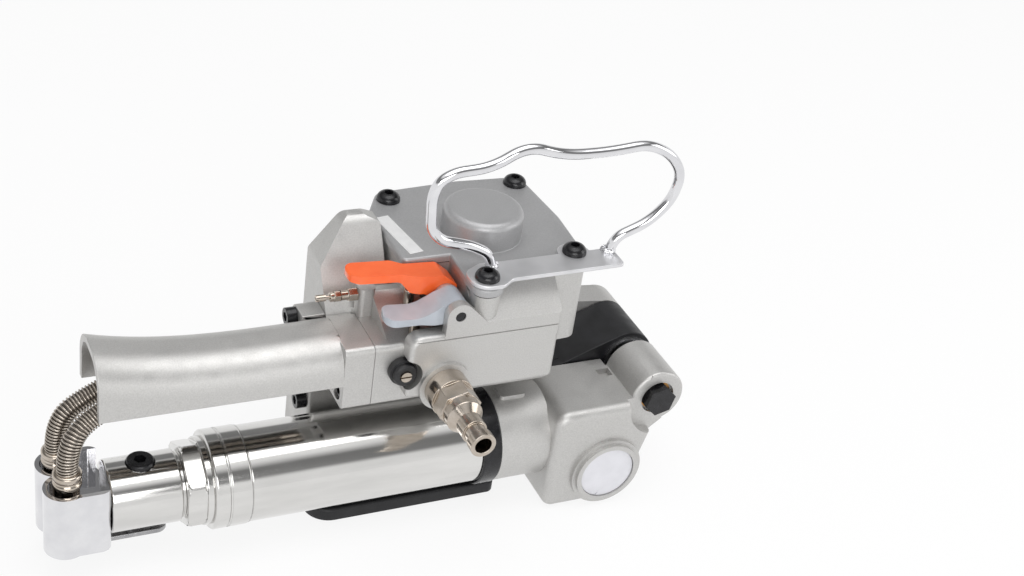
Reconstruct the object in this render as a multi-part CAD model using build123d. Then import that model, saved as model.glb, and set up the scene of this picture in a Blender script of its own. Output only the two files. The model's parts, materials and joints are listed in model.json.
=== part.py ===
"""Pneumatic friction-weld strapping tool.

Frame: X runs along the tool from the hose end (-X) to the hinge end (+X), Y runs
to the open side where the strap goes in (+Y), and Z is up.  The origin lies on the
underside of the base plate, on the vertical axis of the weld motor and on the
centre line of the strap.  All sizes are in millimetres.
"""
from build123d import *
import math
import os

# ---- clearances -------------------------------------------------------------
FIT = 0.02                # static fit, radial, between pieces that stay together
RUN = 0.05                # running fit, radial
SIDE = 0.3                # side clearance between moving pieces
SWING = 1.0               # gap between the swinging arm and the fixed frame

# ---- strap path and base plate ----------------------------------------------
STRAP_WIDTH = 19.0
BASE_THICKNESS = 4.2
BASE_LEFT = -86.0
BASE_RIGHT = 81.0
BASE_FRONT = -36.0
BASE_REAR = 15.0
BASE_CORNER = 12.0
RAIL_HEIGHT = 6.5
ARM_BOTTOM = 44.0         # underside of the upper arm at its screws
RAIL_WIDTH = 10.0
RAIL_END = 9.0
RAIL_GAP = 4.0            # from the rail to the edge of the strap
INSERT_DEPTH = 2.2        # how deep the toothed inserts sit in the base plate
GRIPPER_PROUD = 0.4
JAW_PROUD = 0.6
INSERT_TOOTH = 2.2        # tooth pitch of both inserts
INSERT_CUT = 0.3

# ---- tension wheel and gear housing -------------------------------------------
WHEEL_X = 57.5
WHEEL_RADIUS = 14.5
WHEEL_GAP = 0.3
WHEEL_TEETH = 56
WHEEL_TOOTH = 0.6
WHEEL_SHAFT_RADIUS = 5.0
WHEEL_BEARING_RADIUS = 10.0
BEARING_WIDTH = 6.0
GRIPPER_LENGTH = 25.0
WEB_THICKNESS = 4.5
WORM_RADIUS = 4.6
WORM_GEAR_RADIUS = 8.3
WORM_GEAR_WIDTH = 9.0
WORM_GEAR_TEETH = 17
WORM_GEAR_TOOTH = 1.3
WORM_MESH_GAP = 0.2
WORM_LENGTH = 19.0
WORM_LEAD = 3.1
WORM_SHAFT_RADIUS = 4.0
WORM_BEARING_RADIUS = 9.0
HOUSING_DEPTH = 40.0
HOUSING_LEFT = 27.0
HOUSING_TOP = 56.5
HOUSING_EDGE = 4.5
FOOT_GAP = 0.4
FOOT_CORNER = 18.5
NECK_RADIUS = 23.5
NECK_LENGTH = 26.4
DISC_RADIUS = 14.2
DISC_THICKNESS = 4.6
BOSS_STEP = 1.7
BOSS_FOOT = 4.4           # step round the disc, wider than the disc by this
BOSS_RIM = 2.4

# ---- hinge of the swinging arm -------------------------------------------------
HINGE_OFFSET = 26.0       # from the wheel axis along X
HINGE_RISE = 35.1         # from the wheel axis along Z
PIN_RADIUS = 6.0
PIN_HEAD_FLATS = 14.0
PIN_HEAD_HEIGHT = 6.4
PIN_HEAD_PROUD = 4.0      # how far the head stands out of the ear
PIN_HEAD_ROOM = 0.7       # from the corners of the head to its recess
BUSH_WALL = 2.0
EAR_RADIUS = 14.4
EAR_FRONT = -50.0
EAR_REAR = -21.5
BARREL_RADIUS = 14.5
BARREL_REAR = 14.6
FAR_BOSS_WIDTH = 15.0
WASHER_RADIUS = 12.5
WASHER_THICKNESS = 1.15
SPRING_WIRE = 0.8
SPRING_RADIUS = 9.6

# ---- air motor -----------------------------------------------------------------
TUBE_RADIUS = 22.3
TUBE_WALL = 2.8
TUBE_LENGTH = 112.4
COLLAR_RADIUS = 22.9
COLLAR_LENGTH = 17.0
RING_RADIUS = 24.0
RING_LENGTH = 9.2
NUT_CORNER_RADIUS = 21.0
NUT_LENGTH = 8.5
NUT_FLANGE_RADIUS = 20.3
NUT_FLANGE = 3.0
NUT_NECK_RADIUS = 15.0
NUT_NECK = 1.5
REAR_TUBE_RADIUS = 16.6
REAR_TUBE_WALL = 3.4
REAR_TUBE_LENGTH = 31.5
LINER_BORE = 16.5
LINER_OFFSET = 1.0
LINER_LENGTH = 47.0
END_PLATE = 7.0
ROTOR_RADIUS = 15.0
ROTOR_SHAFT = 5.0
VANES = 5
VANE_THICKNESS = 2.0
VANE_DEPTH = 7.0
VANE_PROUD = 0.4
GEAR_MODULE = 0.9
SUN_TEETH = 12
PLANET_TEETH = 12
PLANETS = 3
GEAR_LENGTH = 12.5
GEAR_BACKLASH = 0.2
PRESSURE_ANGLE = math.radians(20)
CARRIER_RADIUS = 14.0
CARRIER_THICKNESS = 6.0
PLANET_PIN = 2.0

# ---- rear cap, hoses and throttle lever --------------------------------------------
CAP_LENGTH = 28.5
CAP_BOTTOM = 16.0
CAP_TOP = 49.0
CAP_LOBE = 9.5
CAP_WALL = 2.0
CAP_FLOOR = 38.0
HOSE_RADIUS = 4.8
FERRULE_RADIUS = 5.4
FERRULE_TOP = 57.0
FITTING_LENGTH = 9.0
FITTING_SHANK = 3.0
SOCKET_PLUG_PLACE = 16.0  # from the end of the rear tube
SOCKET_PLUG_RADIUS = 6.2
THROTTLE_WIDTH = 12.0
THROTTLE_THICKNESS = 2.4
THROTTLE_REACH = 31.0
THROTTLE_PIVOT_PLACE = 3.5  # from the other end of the rear tube
THROTTLE_PIVOT_Z = 12.0
THROTTLE_ARM = 15.0       # from the pivot to the valve pin
THROTTLE_PIN_RADIUS = 2.0
CHEEK_THICKNESS = 2.4

# ---- main casting ------------------------------------------------------------------
CASTING_BOTTOM = 70.0
COLUMN_LEFT = -80.0
COLUMN_RIGHT = 30.0
COLUMN_FRONT = -3.5
COLUMN_REAR = 30.0
COLUMN_BOTTOM = 12.0
DECK_LEFT = -64.5
DECK_FRONT = -41.0
DECK_TOP = 102.0
BODY_REAR = 44.0
BOX_LEFT = -51.0
BOX_RIGHT = 23.0
BOX_FRONT = -48.0
BOX_BOTTOM = 76.0
BOX_TOP = 113.0
BOX_SHOULDER = 108.5      # top of the valve box left of its lid
BOX_SEAM = 106.5
BED_LEFT = -58.0
BED_REAR = -14.0
BED_TOP = 114.0           # sloped bed under the levers
RAMP_REAR = -34.0         # the valve box's top slopes up to the cover's edge here
WALL_BOTTOM = 88.0
CASTING_TOP = 125.4
HOOD_LEFT = -77.0
HOOD_RIGHT = -46.0
HOOD_TOP = 137.0
HOOD_REAR = 21.0
LEVER_PIN_X = -28.5
LEVER_PIN_Z = 118.0
LEVER_PIN_RADIUS = 2.5
LEVER_EAR_RADIUS = 6.3
LEVER_EAR = 4.3

# ---- top cover, screws and hanger ----------------------------------------------------
GASKET = 0.6
COVER_THICKNESS = 4.0
COVER_MARGIN = 0.8
COVER_LUG_LEFT = -22.0
COVER_LUG_RADIUS = 7.0
WELD_BOSS_RADIUS = 19.0
WELD_BOSS_HEIGHT = 14.0
BUTTON_RADIUS = 5.75
BUTTON_HEIGHT = 4.0
BUTTON_DOME = 3.6
BUTTON_SHANK = 3.0
BUTTON_LENGTH = 16.0
BRACKET_THICKNESS = 2.0
BAIL_WIRE = 2.5
BAIL_Y = -31.3
CAP_SCREW_HEAD = 4.25
CAP_SCREW_HEIGHT = 5.0
CAP_SCREW_SHANK = 2.5
CAP_SCREW_LENGTH = 14.0

# ---- handle -----------------------------------------------------------------------------
HANDLE_LEFT = -187.0
HANDLE_FRONT = -41.0
HANDLE_REAR = -4.0
HANDLE_BOTTOM = 83.0
HANDLE_CREST = 103.0
HANDLE_FLARE = 8.5
HANDLE_ROUND = 15.0
HANDLE_WALL = 3.5
HANDLE_END = -84.0
FLANGE_LEFT = -78.5
FLANGE_TOP = DECK_TOP
FLANGE_REAR = -11.2
HOSE_CHANNEL_Z = 91.5
LUG_Y = 0.8
LUG_Z = 95.5
LUG_RADIUS = 5.2
LUG_LENGTH = 11.0
LUG_ROOT = 9.0  # depth of the lug's block into the grip

# ---- air inlet, timer, levers ---------------------------------------------------------------
INLET_X = -32.5
INLET_Z = 81.5
INLET_BOSS_RADIUS = 12.5
INLET_BOSS = 2.0
PLUG_BODY_RADIUS = 10.25
PLUG_BODY_LENGTH = 27.0
PLUG_NOSE_RADIUS = 6.0
PLUG_NOSE_LENGTH = 17.0
PLUG_BORE = 3.9
PLUG_THREAD_RADIUS = 6.5
TIMER_X = -51.5
TIMER_Z = 88.9
TIMER_RADIUS = 6.6
TIMER_HEIGHT = 6.5
TIMER_COLLAR = 3.6
TIMER_SCREW = 2.6
TIMER_THREAD = 5.0
ADJUSTER_Y = -12.5
ADJUSTER_Z = 112.7
PLUNGER_RADIUS = 2.5
PLUNGER_BOTTOM = 96.3
PLUNGER_ROOM = 2.1        # free length of the bore under a plunger
TENSION_PLUNGER = (-45.0, -36.0)
WELD_PLUNGER = (-43.5, -22.5)
TENSION_LEVER_Y = (-43.4, -31.0)
WELD_LEVER_Y = (-28.4, -16.2)

# ---- weld head ---------------------------------------------------------------------------------
SLEEVE_RADIUS = 18.0
SLEEVE_BORE = 16.0
SLEEVE_BOTTOM = 74.0
PISTON_BOTTOM = 100.0
PISTON_HEIGHT = 21.0
PISTON_BORE = 11.0
PISTON_CROWN = 4.0
WELD_ROTOR_RADIUS = 9.5
WELD_ROTOR_LENGTH = 13.0
WELD_SHAFT_RADIUS = 2.2
ECCENTRIC = 0.6
ECCENTRIC_RADIUS = 1.5
PRESS_TRAVEL = 3.0
SHOE_LENGTH = 28.0
SHOE_HEIGHT = 8.0
TONGUE_WIDTH = 10.0
TONGUE_HEAD = 14.0
TONGUE_HEIGHT = 6.0
TONGUE_HEAD_HEIGHT = 2.0
CARRIER_LEFT = -16.0
CARRIER_RIGHT = 19.0
CARRIER_BOTTOM = 18.0
CARRIER_TOP = 27.0
CARRIER_FRONT = -3.0
CARRIER_REAR = 13.0
POST_X = 10.5
POST_Y = 8.5
POST_RADIUS = 2.4
CUTTER_THICKNESS = 2.0

# ---- places that follow from the sizes above ------------------------------------------------------
GRIPPER_TOP = BASE_THICKNESS + GRIPPER_PROUD
JAW_TOP = BASE_THICKNESS + JAW_PROUD
WHEEL_Z = GRIPPER_TOP + WHEEL_GAP + WHEEL_RADIUS
MOTOR_Z = WHEEL_Z + WORM_GEAR_RADIUS + WORM_MESH_GAP + WORM_RADIUS
WHEEL_HALF = STRAP_WIDTH / 2
WEB_REAR = -WHEEL_HALF - SWING
WEB_FRONT = WEB_REAR - WEB_THICKNESS
RAIL_REAR = -WHEEL_HALF - RAIL_GAP
HOUSING_REAR = WEB_FRONT - SWING
HOUSING_FRONT = HOUSING_REAR - HOUSING_DEPTH
MOTOR_Y = -28.5
HINGE_X = WHEEL_X + HINGE_OFFSET
HINGE_Z = WHEEL_Z + HINGE_RISE
FAR_BOSS = (BARREL_REAR + 0.4, BARREL_REAR + 0.4 + FAR_BOSS_WIDTH)
RING_RIGHT = HOUSING_LEFT + 1.0 - NECK_LENGTH
RING_LEFT = RING_RIGHT - RING_LENGTH
TUBE_LEFT = RING_LEFT - TUBE_LENGTH
COLLAR_LEFT = TUBE_LEFT - COLLAR_LENGTH
TUBE_BORE = TUBE_RADIUS - TUBE_WALL
NUT_FLANGE_LEFT = COLLAR_LEFT - NUT_FLANGE
NUT_LEFT = NUT_FLANGE_LEFT - NUT_LENGTH
REAR_TUBE_RIGHT = NUT_LEFT - NUT_NECK
REAR_TUBE_LEFT = REAR_TUBE_RIGHT - REAR_TUBE_LENGTH
CAP_LEFT = REAR_TUBE_LEFT - CAP_LENGTH
SOCKET_PLUG_X = REAR_TUBE_RIGHT - SOCKET_PLUG_PLACE
THROTTLE_PIVOT_X = REAR_TUBE_LEFT - THROTTLE_PIVOT_PLACE
THROTTLE_PIN_X = THROTTLE_PIVOT_X + THROTTLE_ARM
COVER_BOTTOM = CASTING_TOP + GASKET
COVER_TOP = COVER_BOTTOM + COVER_THICKNESS
SUN_RADIUS = GEAR_MODULE * SUN_TEETH / 2
PLANET_RADIUS = GEAR_MODULE * PLANET_TEETH / 2
RING_TEETH = SUN_TEETH + 2 * PLANET_TEETH
PLANET_ORBIT = SUN_RADIUS + PLANET_RADIUS
LOBES = ((CAP_LEFT + CAP_LOBE, -20.5), (CAP_LEFT + CAP_LOBE, -37.5))
DISC_SEAT = HOUSING_FRONT + 2.0
PIN_SEAT = EAR_FRONT + PIN_HEAD_HEIGHT - PIN_HEAD_PROUD
PIN_HEAD_RADIUS = PIN_HEAD_FLATS / math.sqrt(3)
BOSS_FACE = HOUSING_FRONT - 2 * BOSS_STEP
WHEEL_BEARINGS = (
    (HOUSING_FRONT + 4, HOUSING_FRONT + 4 + BEARING_WIDTH),
    (HOUSING_REAR - 0.5 - BEARING_WIDTH, HOUSING_REAR - 0.5))
WORM_BEARINGS = (
    (RING_RIGHT + 0.5, RING_RIGHT + 0.5 + BEARING_WIDTH), (WHEEL_X + 12.5, WHEEL_X + 12.5 + BEARING_WIDTH))
LINER_X = (TUBE_LEFT + 9.5, TUBE_LEFT + 9.5 + LINER_LENGTH)
GEAR_X = (LINER_X[1] + END_PLATE + 1, LINER_X[1] + END_PLATE + 1 + GEAR_LENGTH)
SOCKET_SEAT = MOTOR_Z + REAR_TUBE_RADIUS - 1.2
SHAFT_FOOT = CARRIER_TOP - 2.7
SHOE_NECK_TOP = COLUMN_BOTTOM + 10.0
HOSE_ENDS = (-30.8, -18.4)
FERRULES = ((CAP_LEFT + 10.5, -37.0), (CAP_LEFT + 9.0, -20.6))
BUTTON_PLACES = ((-32.6, 36.5), (35.0, 39.0), (34.8, -28.7), (-14.3, -40.3))
ARM_SCREWS = ((37.5, -5.0), (37.5, 8.0))
COLUMN_SCREWS = ((1.5, 46.0), (1.5, 58.0))
FLANGE_SCREWS = ((-33.0, 76.0), (-15.0, 76.0))
LUG_LEFT = HOOD_LEFT - LUG_LENGTH
RAMP_LEFT = COVER_LUG_LEFT + COVER_MARGIN
COVER_OUTLINE = (
    (-45, -15.5, 3), (-45, 29, 6), (-36, 44.5, 8), (6, 47.4, 20), (40.5, 45.5, 8), (43.5, 5, 20),
    (41, -35.5, 7), (27, -36.5, 6), (3, -32, 10), (-6.6, -36, 3), (-6.6, -48, 7), (COVER_LUG_LEFT, -48, 7),
    (COVER_LUG_LEFT, -15.5),
)


# ---- small helpers ---------------------------------------------------------------------------------
def block(x, y, z):
    """Box between two bounds on each axis."""
    size = (x[1] - x[0], y[1] - y[0], z[1] - z[0])
    return Pos((x[0] + x[1]) / 2, (y[0] + y[1]) / 2, (z[0] + z[1]) / 2) * Box(*size)


def rod_x(x, y, z, radius):
    """Cylinder along X between two bounds."""
    return Pos((x[0] + x[1]) / 2, y, z) * Rot(0, 90, 0) * Cylinder(radius, x[1] - x[0])


def rod_y(x, y, z, radius):
    """Cylinder along Y between two bounds."""
    return Pos(x, (y[0] + y[1]) / 2, z) * Rot(90, 0, 0) * Cylinder(radius, y[1] - y[0])


def rod_z(x, y, z, radius):
    """Cylinder along Z between two bounds."""
    return Pos(x, y, (z[0] + z[1]) / 2) * Cylinder(radius, z[1] - z[0])


def outline(corners):
    """Closed outline from corners given as (a, b) or (a, b, corner radius)."""
    points = [(corner[0], corner[1]) for corner in corners]
    radii = [corner[2] if len(corner) > 2 else 0 for corner in corners]
    face = make_face(Polyline(*points, close=True).edges())
    for point, radius in zip(points, radii):
        if radius:
            vertex = face.vertices().sort_by_distance((point[0], point[1], 0))[0]
            face = fillet(vertex, radius)
    return face


def prism_x(corners, x):
    """Outline in (y, z) drawn out along X."""
    plane = Plane(origin=(x[0], 0, 0), x_dir=(0, 1, 0), z_dir=(1, 0, 0))
    return extrude(plane * outline(corners), x[1] - x[0])


def prism_y(corners, y):
    """Outline in (x, z) drawn out along Y."""
    plane = Plane(origin=(0, y[1], 0), x_dir=(1, 0, 0), z_dir=(0, -1, 0))
    return extrude(plane * outline(corners), y[1] - y[0])


def prism_z(corners, z):
    """Outline in (x, y) drawn out along Z."""
    return extrude(Pos(0, 0, z[0]) * outline(corners), z[1] - z[0])


def hexagon_x(x, y, z, corner_radius):
    """Hexagonal bar along X, with a corner at the top."""
    corners = []
    for step in range(6):
        angle = math.radians(60 * step + 90)
        corners.append((y + corner_radius * math.cos(angle), z + corner_radius * math.sin(angle)))
    return prism_x(corners, x)


def hexagon_y(x, y, z, corner_radius):
    """Hexagonal bar along Y."""
    corners = []
    for step in range(6):
        angle = math.radians(60 * step + 15)
        corners.append((x + corner_radius * math.cos(angle), z + corner_radius * math.sin(angle)))
    return prism_y(corners, y)


def rounded(solid, radius, axis):
    """Solid with the edges along one axis rounded."""
    return fillet(solid.edges().filter_by(axis), radius)


def bend_radii(points, share=0.45):
    """Largest arc at each inner point of a route that its two runs allow."""
    radii = []
    for before, here, after in zip(points, points[1:], points[2:]):
        first = Vector(*here) - Vector(*before)
        second = Vector(*after) - Vector(*here)
        half_turn = math.radians(first.get_angle(second)) / 2
        radii.append(share * min(first.length, second.length) / math.tan(half_turn))
    return radii


def tube_along(points, radius):
    """Round bar along straight runs joined by tangent arcs."""
    path = FilletPolyline(*points, radius=bend_radii(points))
    start = Plane(origin=path @ 0, z_dir=path % 0)
    return sweep(start * Circle(radius), path=path)


def gear_corners(teeth, tip, root, backlash, turn=0.0):
    """Corners of an involute spur gear in its own plane."""
    pitch = GEAR_MODULE * teeth / 2
    base = pitch * math.cos(PRESSURE_ANGLE)
    half = math.pi / (2 * teeth) - backlash / (2 * pitch) / 2
    involute = math.tan(PRESSURE_ANGLE) - PRESSURE_ANGLE
    flank = []
    for step in range(5):
        radius = root + (tip - root) * step / 4
        roll = math.acos(min(1.0, base / radius))
        flank.append((radius, half + involute - (math.tan(roll) - roll)))
    corners = []
    for tooth in range(teeth):
        middle = 2 * math.pi * tooth / teeth + turn
        for radius, angle in flank:
            corners.append((radius * math.cos(middle - angle), radius * math.sin(middle - angle)))
        for radius, angle in reversed(flank):
            corners.append((radius * math.cos(middle + angle), radius * math.sin(middle + angle)))
    return corners


def along_motor(corners):
    """Corners moved from a gear's own plane to the motor axis."""
    return [(MOTOR_Y + a, MOTOR_Z + b) for a, b in corners]


def cap_screw():
    """Socket cap screw along X, its head's underside at the origin and the shank to +X."""
    screw = rod_x((-CAP_SCREW_HEIGHT, 0), 0, 0, CAP_SCREW_HEAD)
    screw += rod_x((0, CAP_SCREW_LENGTH), 0, 0, CAP_SCREW_SHANK)
    return screw - hexagon_x((-CAP_SCREW_HEIGHT, -CAP_SCREW_HEIGHT / 2), 0, 0, CAP_SCREW_SHANK * 0.92)


# ---- fixed frame ---------------------------------------------------------------------------------------
def toothed_insert(x, top):
    """Hardened plate with teeth across the strap."""
    plate = block(x, (-WHEEL_HALF, WHEEL_HALF), (BASE_THICKNESS - INSERT_DEPTH, top))
    count = int((x[1] - x[0]) / INSERT_TOOTH)
    for step in range(1, count):
        groove = x[0] + step * INSERT_TOOTH
        corners = ((groove - INSERT_CUT, top), (groove, top - INSERT_CUT), (groove + INSERT_CUT, top))
        plate -= prism_y(corners, (-WHEEL_HALF, WHEEL_HALF))
    return plate


def insert_ends(centre, length):
    return (centre - length / 2, centre + length / 2)


def plate_screw_places():
    return [(WHEEL_X - 8, 0), (WHEEL_X + 8, 0), (-10, 0), (10, 0)]


def plate_screws():
    """Countersunk screws that hold both inserts from below."""
    screws = []
    for x, y in plate_screw_places():
        head = Pos(x, y, 0.9) * Cone(3.0, 1.5, 1.4)
        screws.append(head + rod_z(x, y, (1.6, BASE_THICKNESS - 0.6), 1.5))
    return Compound(children=[screw.solid() for screw in screws])


def base_frame():
    """Black steel frame: base plate, foot rail, web, upper arm and hinge barrel."""
    web_y = (WEB_FRONT, WEB_REAR)
    frame = prism_z(
        ((BASE_LEFT, BASE_FRONT, BASE_CORNER), (RAIL_END, BASE_FRONT, 4), (RAIL_END, WEB_FRONT, 2),
         (BASE_RIGHT, WEB_FRONT), (BASE_RIGHT, BASE_REAR, 4), (BASE_LEFT, BASE_REAR, 8)),
        (0, BASE_THICKNESS))
    rail = prism_z(
        ((BASE_LEFT, BASE_FRONT, BASE_CORNER), (RAIL_END, BASE_FRONT, 4),
         (RAIL_END, BASE_FRONT + RAIL_WIDTH, 2), (BASE_LEFT + RAIL_WIDTH, BASE_FRONT + RAIL_WIDTH, 4),
         (BASE_LEFT + RAIL_WIDTH, RAIL_REAR, 3), (BASE_LEFT, RAIL_REAR, 3)),
        (0, RAIL_HEIGHT))
    frame += fillet(rail.faces().sort_by(Axis.Z)[-1].edges(), 1.6)
    frame += prism_y(((33, 0), (78, 0), (78, 59), (33, 55)), web_y)
    arm_y = (WEB_FRONT, BARREL_REAR)
    frame += prism_y(
        ((33, ARM_BOTTOM, 3), (33, 56), (47, 56, 8), (63, 62.5, 10), (HINGE_X - 4.5, HINGE_Z + 13.7),
         (HINGE_X, HINGE_Z), (HINGE_X - 3, HINGE_Z - 14), (60, 41, 8), (46, ARM_BOTTOM, 6)), arm_y)
    frame += rod_y(HINGE_X, arm_y, HINGE_Z, BARREL_RADIUS)
    frame -= rod_y(HINGE_X, arm_y, HINGE_Z, PIN_RADIUS + RUN)
    frame -= rod_y(WHEEL_X - 1.5, web_y, WHEEL_Z + 1.2, 2 * WHEEL_SHAFT_RADIUS)
    depth = (BASE_THICKNESS - INSERT_DEPTH, BASE_THICKNESS)
    strap = (-WHEEL_HALF - FIT, WHEEL_HALF + FIT)
    for centre, length in ((WHEEL_X, GRIPPER_LENGTH), (0, SHOE_LENGTH)):
        frame -= block(insert_ends(centre, length + 2 * FIT), strap, depth)
    for x, y in plate_screw_places():
        frame -= Pos(x, y, 0.8) * Cone(3.3, 1.6, 1.6)
        frame -= rod_z(x, y, (0, BASE_THICKNESS), 1.6)
    for x, y in ARM_SCREWS:
        frame -= rod_z(x, y, (ARM_BOTTOM - 4, ARM_BOTTOM + CAP_SCREW_LENGTH + 2), CAP_SCREW_SHANK + FIT)
    return frame


def drilled_insert(centre, length, top):
    insert = toothed_insert(insert_ends(centre, length), top)
    for x, y in plate_screw_places():
        insert -= rod_z(x, y, (0, BASE_THICKNESS - 0.5), 1.5 + FIT)
    return insert


# ---- main casting -----------------------------------------------------------------------------------------
def inner_outline(margin):
    return offset(outline(COVER_OUTLINE), -margin)


def hood():
    """Sloping rear-left part of the casting."""
    side = prism_y(
        ((HOOD_LEFT, CASTING_BOTTOM), (HOOD_LEFT, HOOD_TOP - 18, 3), (HOOD_LEFT + 14.5, HOOD_TOP, 8), (-54, HOOD_TOP, 6),
         (HOOD_RIGHT, HOOD_TOP - 3, 2), (HOOD_RIGHT, CASTING_BOTTOM)), (-12, HOOD_REAR))
    length = prism_x(
        ((HOOD_REAR, CASTING_BOTTOM), (HOOD_REAR, HOOD_TOP, 1), (HOOD_REAR - 7, HOOD_TOP, 8), (-9, DECK_TOP - 2),
         (-10.5, DECK_TOP - 2), (-10.5, CASTING_BOTTOM)), (HOOD_LEFT, HOOD_RIGHT))
    return side & length


def hinge_arm():
    """Rear arm that carries the far end of the hinge pin."""
    arm = prism_y(
        ((20, 50), (20, 88), (43, 88, 10), (66, 71, 10), (HINGE_X + 1, HINGE_Z + 14.3),
         (HINGE_X, HINGE_Z), (HINGE_X - 2, HINGE_Z - 14.2), (62, 44, 8), (34, 50)), FAR_BOSS)
    arm += rod_y(HINGE_X, FAR_BOSS, HINGE_Z, BARREL_RADIUS)
    return arm - rod_y(HINGE_X, FAR_BOSS, HINGE_Z, PIN_RADIUS + FIT)


def column():
    """Lower column over the strap, with the pocket of the weld jaw."""
    solid = prism_z(
        ((COLUMN_LEFT, COLUMN_FRONT, 2), (COLUMN_RIGHT, COLUMN_FRONT, 2), (COLUMN_RIGHT, COLUMN_REAR, 5),
         (COLUMN_LEFT, COLUMN_REAR, 5)), (COLUMN_BOTTOM, CASTING_BOTTOM + 4))
    solid -= block((CARRIER_LEFT - SIDE, CARRIER_RIGHT + CUTTER_THICKNESS + SIDE),
                   (COLUMN_FRONT - 1, CARRIER_REAR + SIDE), (COLUMN_BOTTOM, CARRIER_TOP + SIDE))
    return solid


def valve_box():
    """Air valve box with the inlet boss and the ear of the lever pin."""
    left = prism_y(
        ((BOX_LEFT, BOX_BOTTOM, 3), (BOX_LEFT, BOX_SHOULDER, 6), (BOX_RIGHT, BOX_SHOULDER), (BOX_RIGHT, BOX_BOTTOM, 3)),
        (BOX_FRONT, DECK_FRONT + 1))
    left = fillet(left.faces().sort_by(Axis.Y)[0].edges().filter_by(Axis.Z), 2.5)
    lid = prism_x(
        ((BOX_FRONT, DECK_TOP - 1), (BOX_FRONT, BOX_TOP), (RAMP_REAR, CASTING_TOP), (-20, CASTING_TOP), (-20, DECK_TOP - 1)),
        (RAMP_LEFT, BOX_RIGHT))
    lid = fillet(lid.faces().sort_by(Axis.Y)[0].edges().filter_by(Axis.Z), 2.0)
    box = left + lid
    box += block((-40, BOX_RIGHT), (DECK_FRONT, -3.5), (BOX_BOTTOM, DECK_TOP))
    ear_y = (BOX_FRONT, BOX_FRONT + LEVER_EAR)
    box += prism_y(
        ((LEVER_PIN_X - 6.3, DECK_TOP - 2), (LEVER_PIN_X - 6.3, LEVER_PIN_Z), (LEVER_PIN_X, LEVER_PIN_Z),
         (LEVER_PIN_X + 4.4, LEVER_PIN_Z + 4.5), (LEVER_PIN_X + 14, BOX_TOP), (LEVER_PIN_X + 14, DECK_TOP - 2)),
        ear_y)
    box += rod_y(LEVER_PIN_X, ear_y, LEVER_PIN_Z, LEVER_EAR_RADIUS)
    spacer_y = (TENSION_LEVER_Y[1] + 0.2, WELD_LEVER_Y[0] - 0.2)
    box += block((LEVER_PIN_X - 5, LEVER_PIN_X + 8), spacer_y, (DECK_TOP - 2, LEVER_PIN_Z))
    box += rod_y(LEVER_PIN_X, spacer_y, LEVER_PIN_Z, 5.5)
    box += rod_y(INLET_X, (BOX_FRONT - INLET_BOSS, DECK_FRONT + 1), INLET_Z, INLET_BOSS_RADIUS)
    box -= rod_y(TIMER_X, (BOX_FRONT - 1, DECK_FRONT), TIMER_Z, TIMER_RADIUS + 1.2)
    box -= block((BOX_LEFT - 1, BOX_RIGHT + 1), (BOX_FRONT - 1, BOX_FRONT + 0.5), (BOX_SEAM - 0.3, BOX_SEAM + 0.3))
    return box


def adjuster_boss():
    """Boss on the deck that the adjuster fitting screws into."""
    boss = block((DECK_LEFT, DECK_LEFT + 8), (ADJUSTER_Y - 4, ADJUSTER_Y + 4), (DECK_TOP - 3, ADJUSTER_Z + 4))
    boss = rounded(boss, 2.5, Axis.Z)
    return boss - rod_x((DECK_LEFT, DECK_LEFT + 5), ADJUSTER_Y, ADJUSTER_Z, 2 + FIT)


def cylinder_wall():
    """Wall under the cover, cut back over the valve box, with the boss of the front left screw."""
    wall = extrude(Pos(0, 0, WALL_BOTTOM) * inner_outline(COVER_MARGIN), CASTING_TOP - WALL_BOTTOM)
    wall -= prism_x(
        ((BOX_FRONT - 1, BOX_TOP), (BOX_FRONT, BOX_TOP), (RAMP_REAR, CASTING_TOP), (BOX_FRONT - 1, CASTING_TOP)),
        (COVER_LUG_LEFT, BOX_RIGHT))
    x, y = BUTTON_PLACES[3]
    return wall + rod_z(x, y, (BOX_TOP - 2, CASTING_TOP), COVER_LUG_RADIUS)


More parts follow.
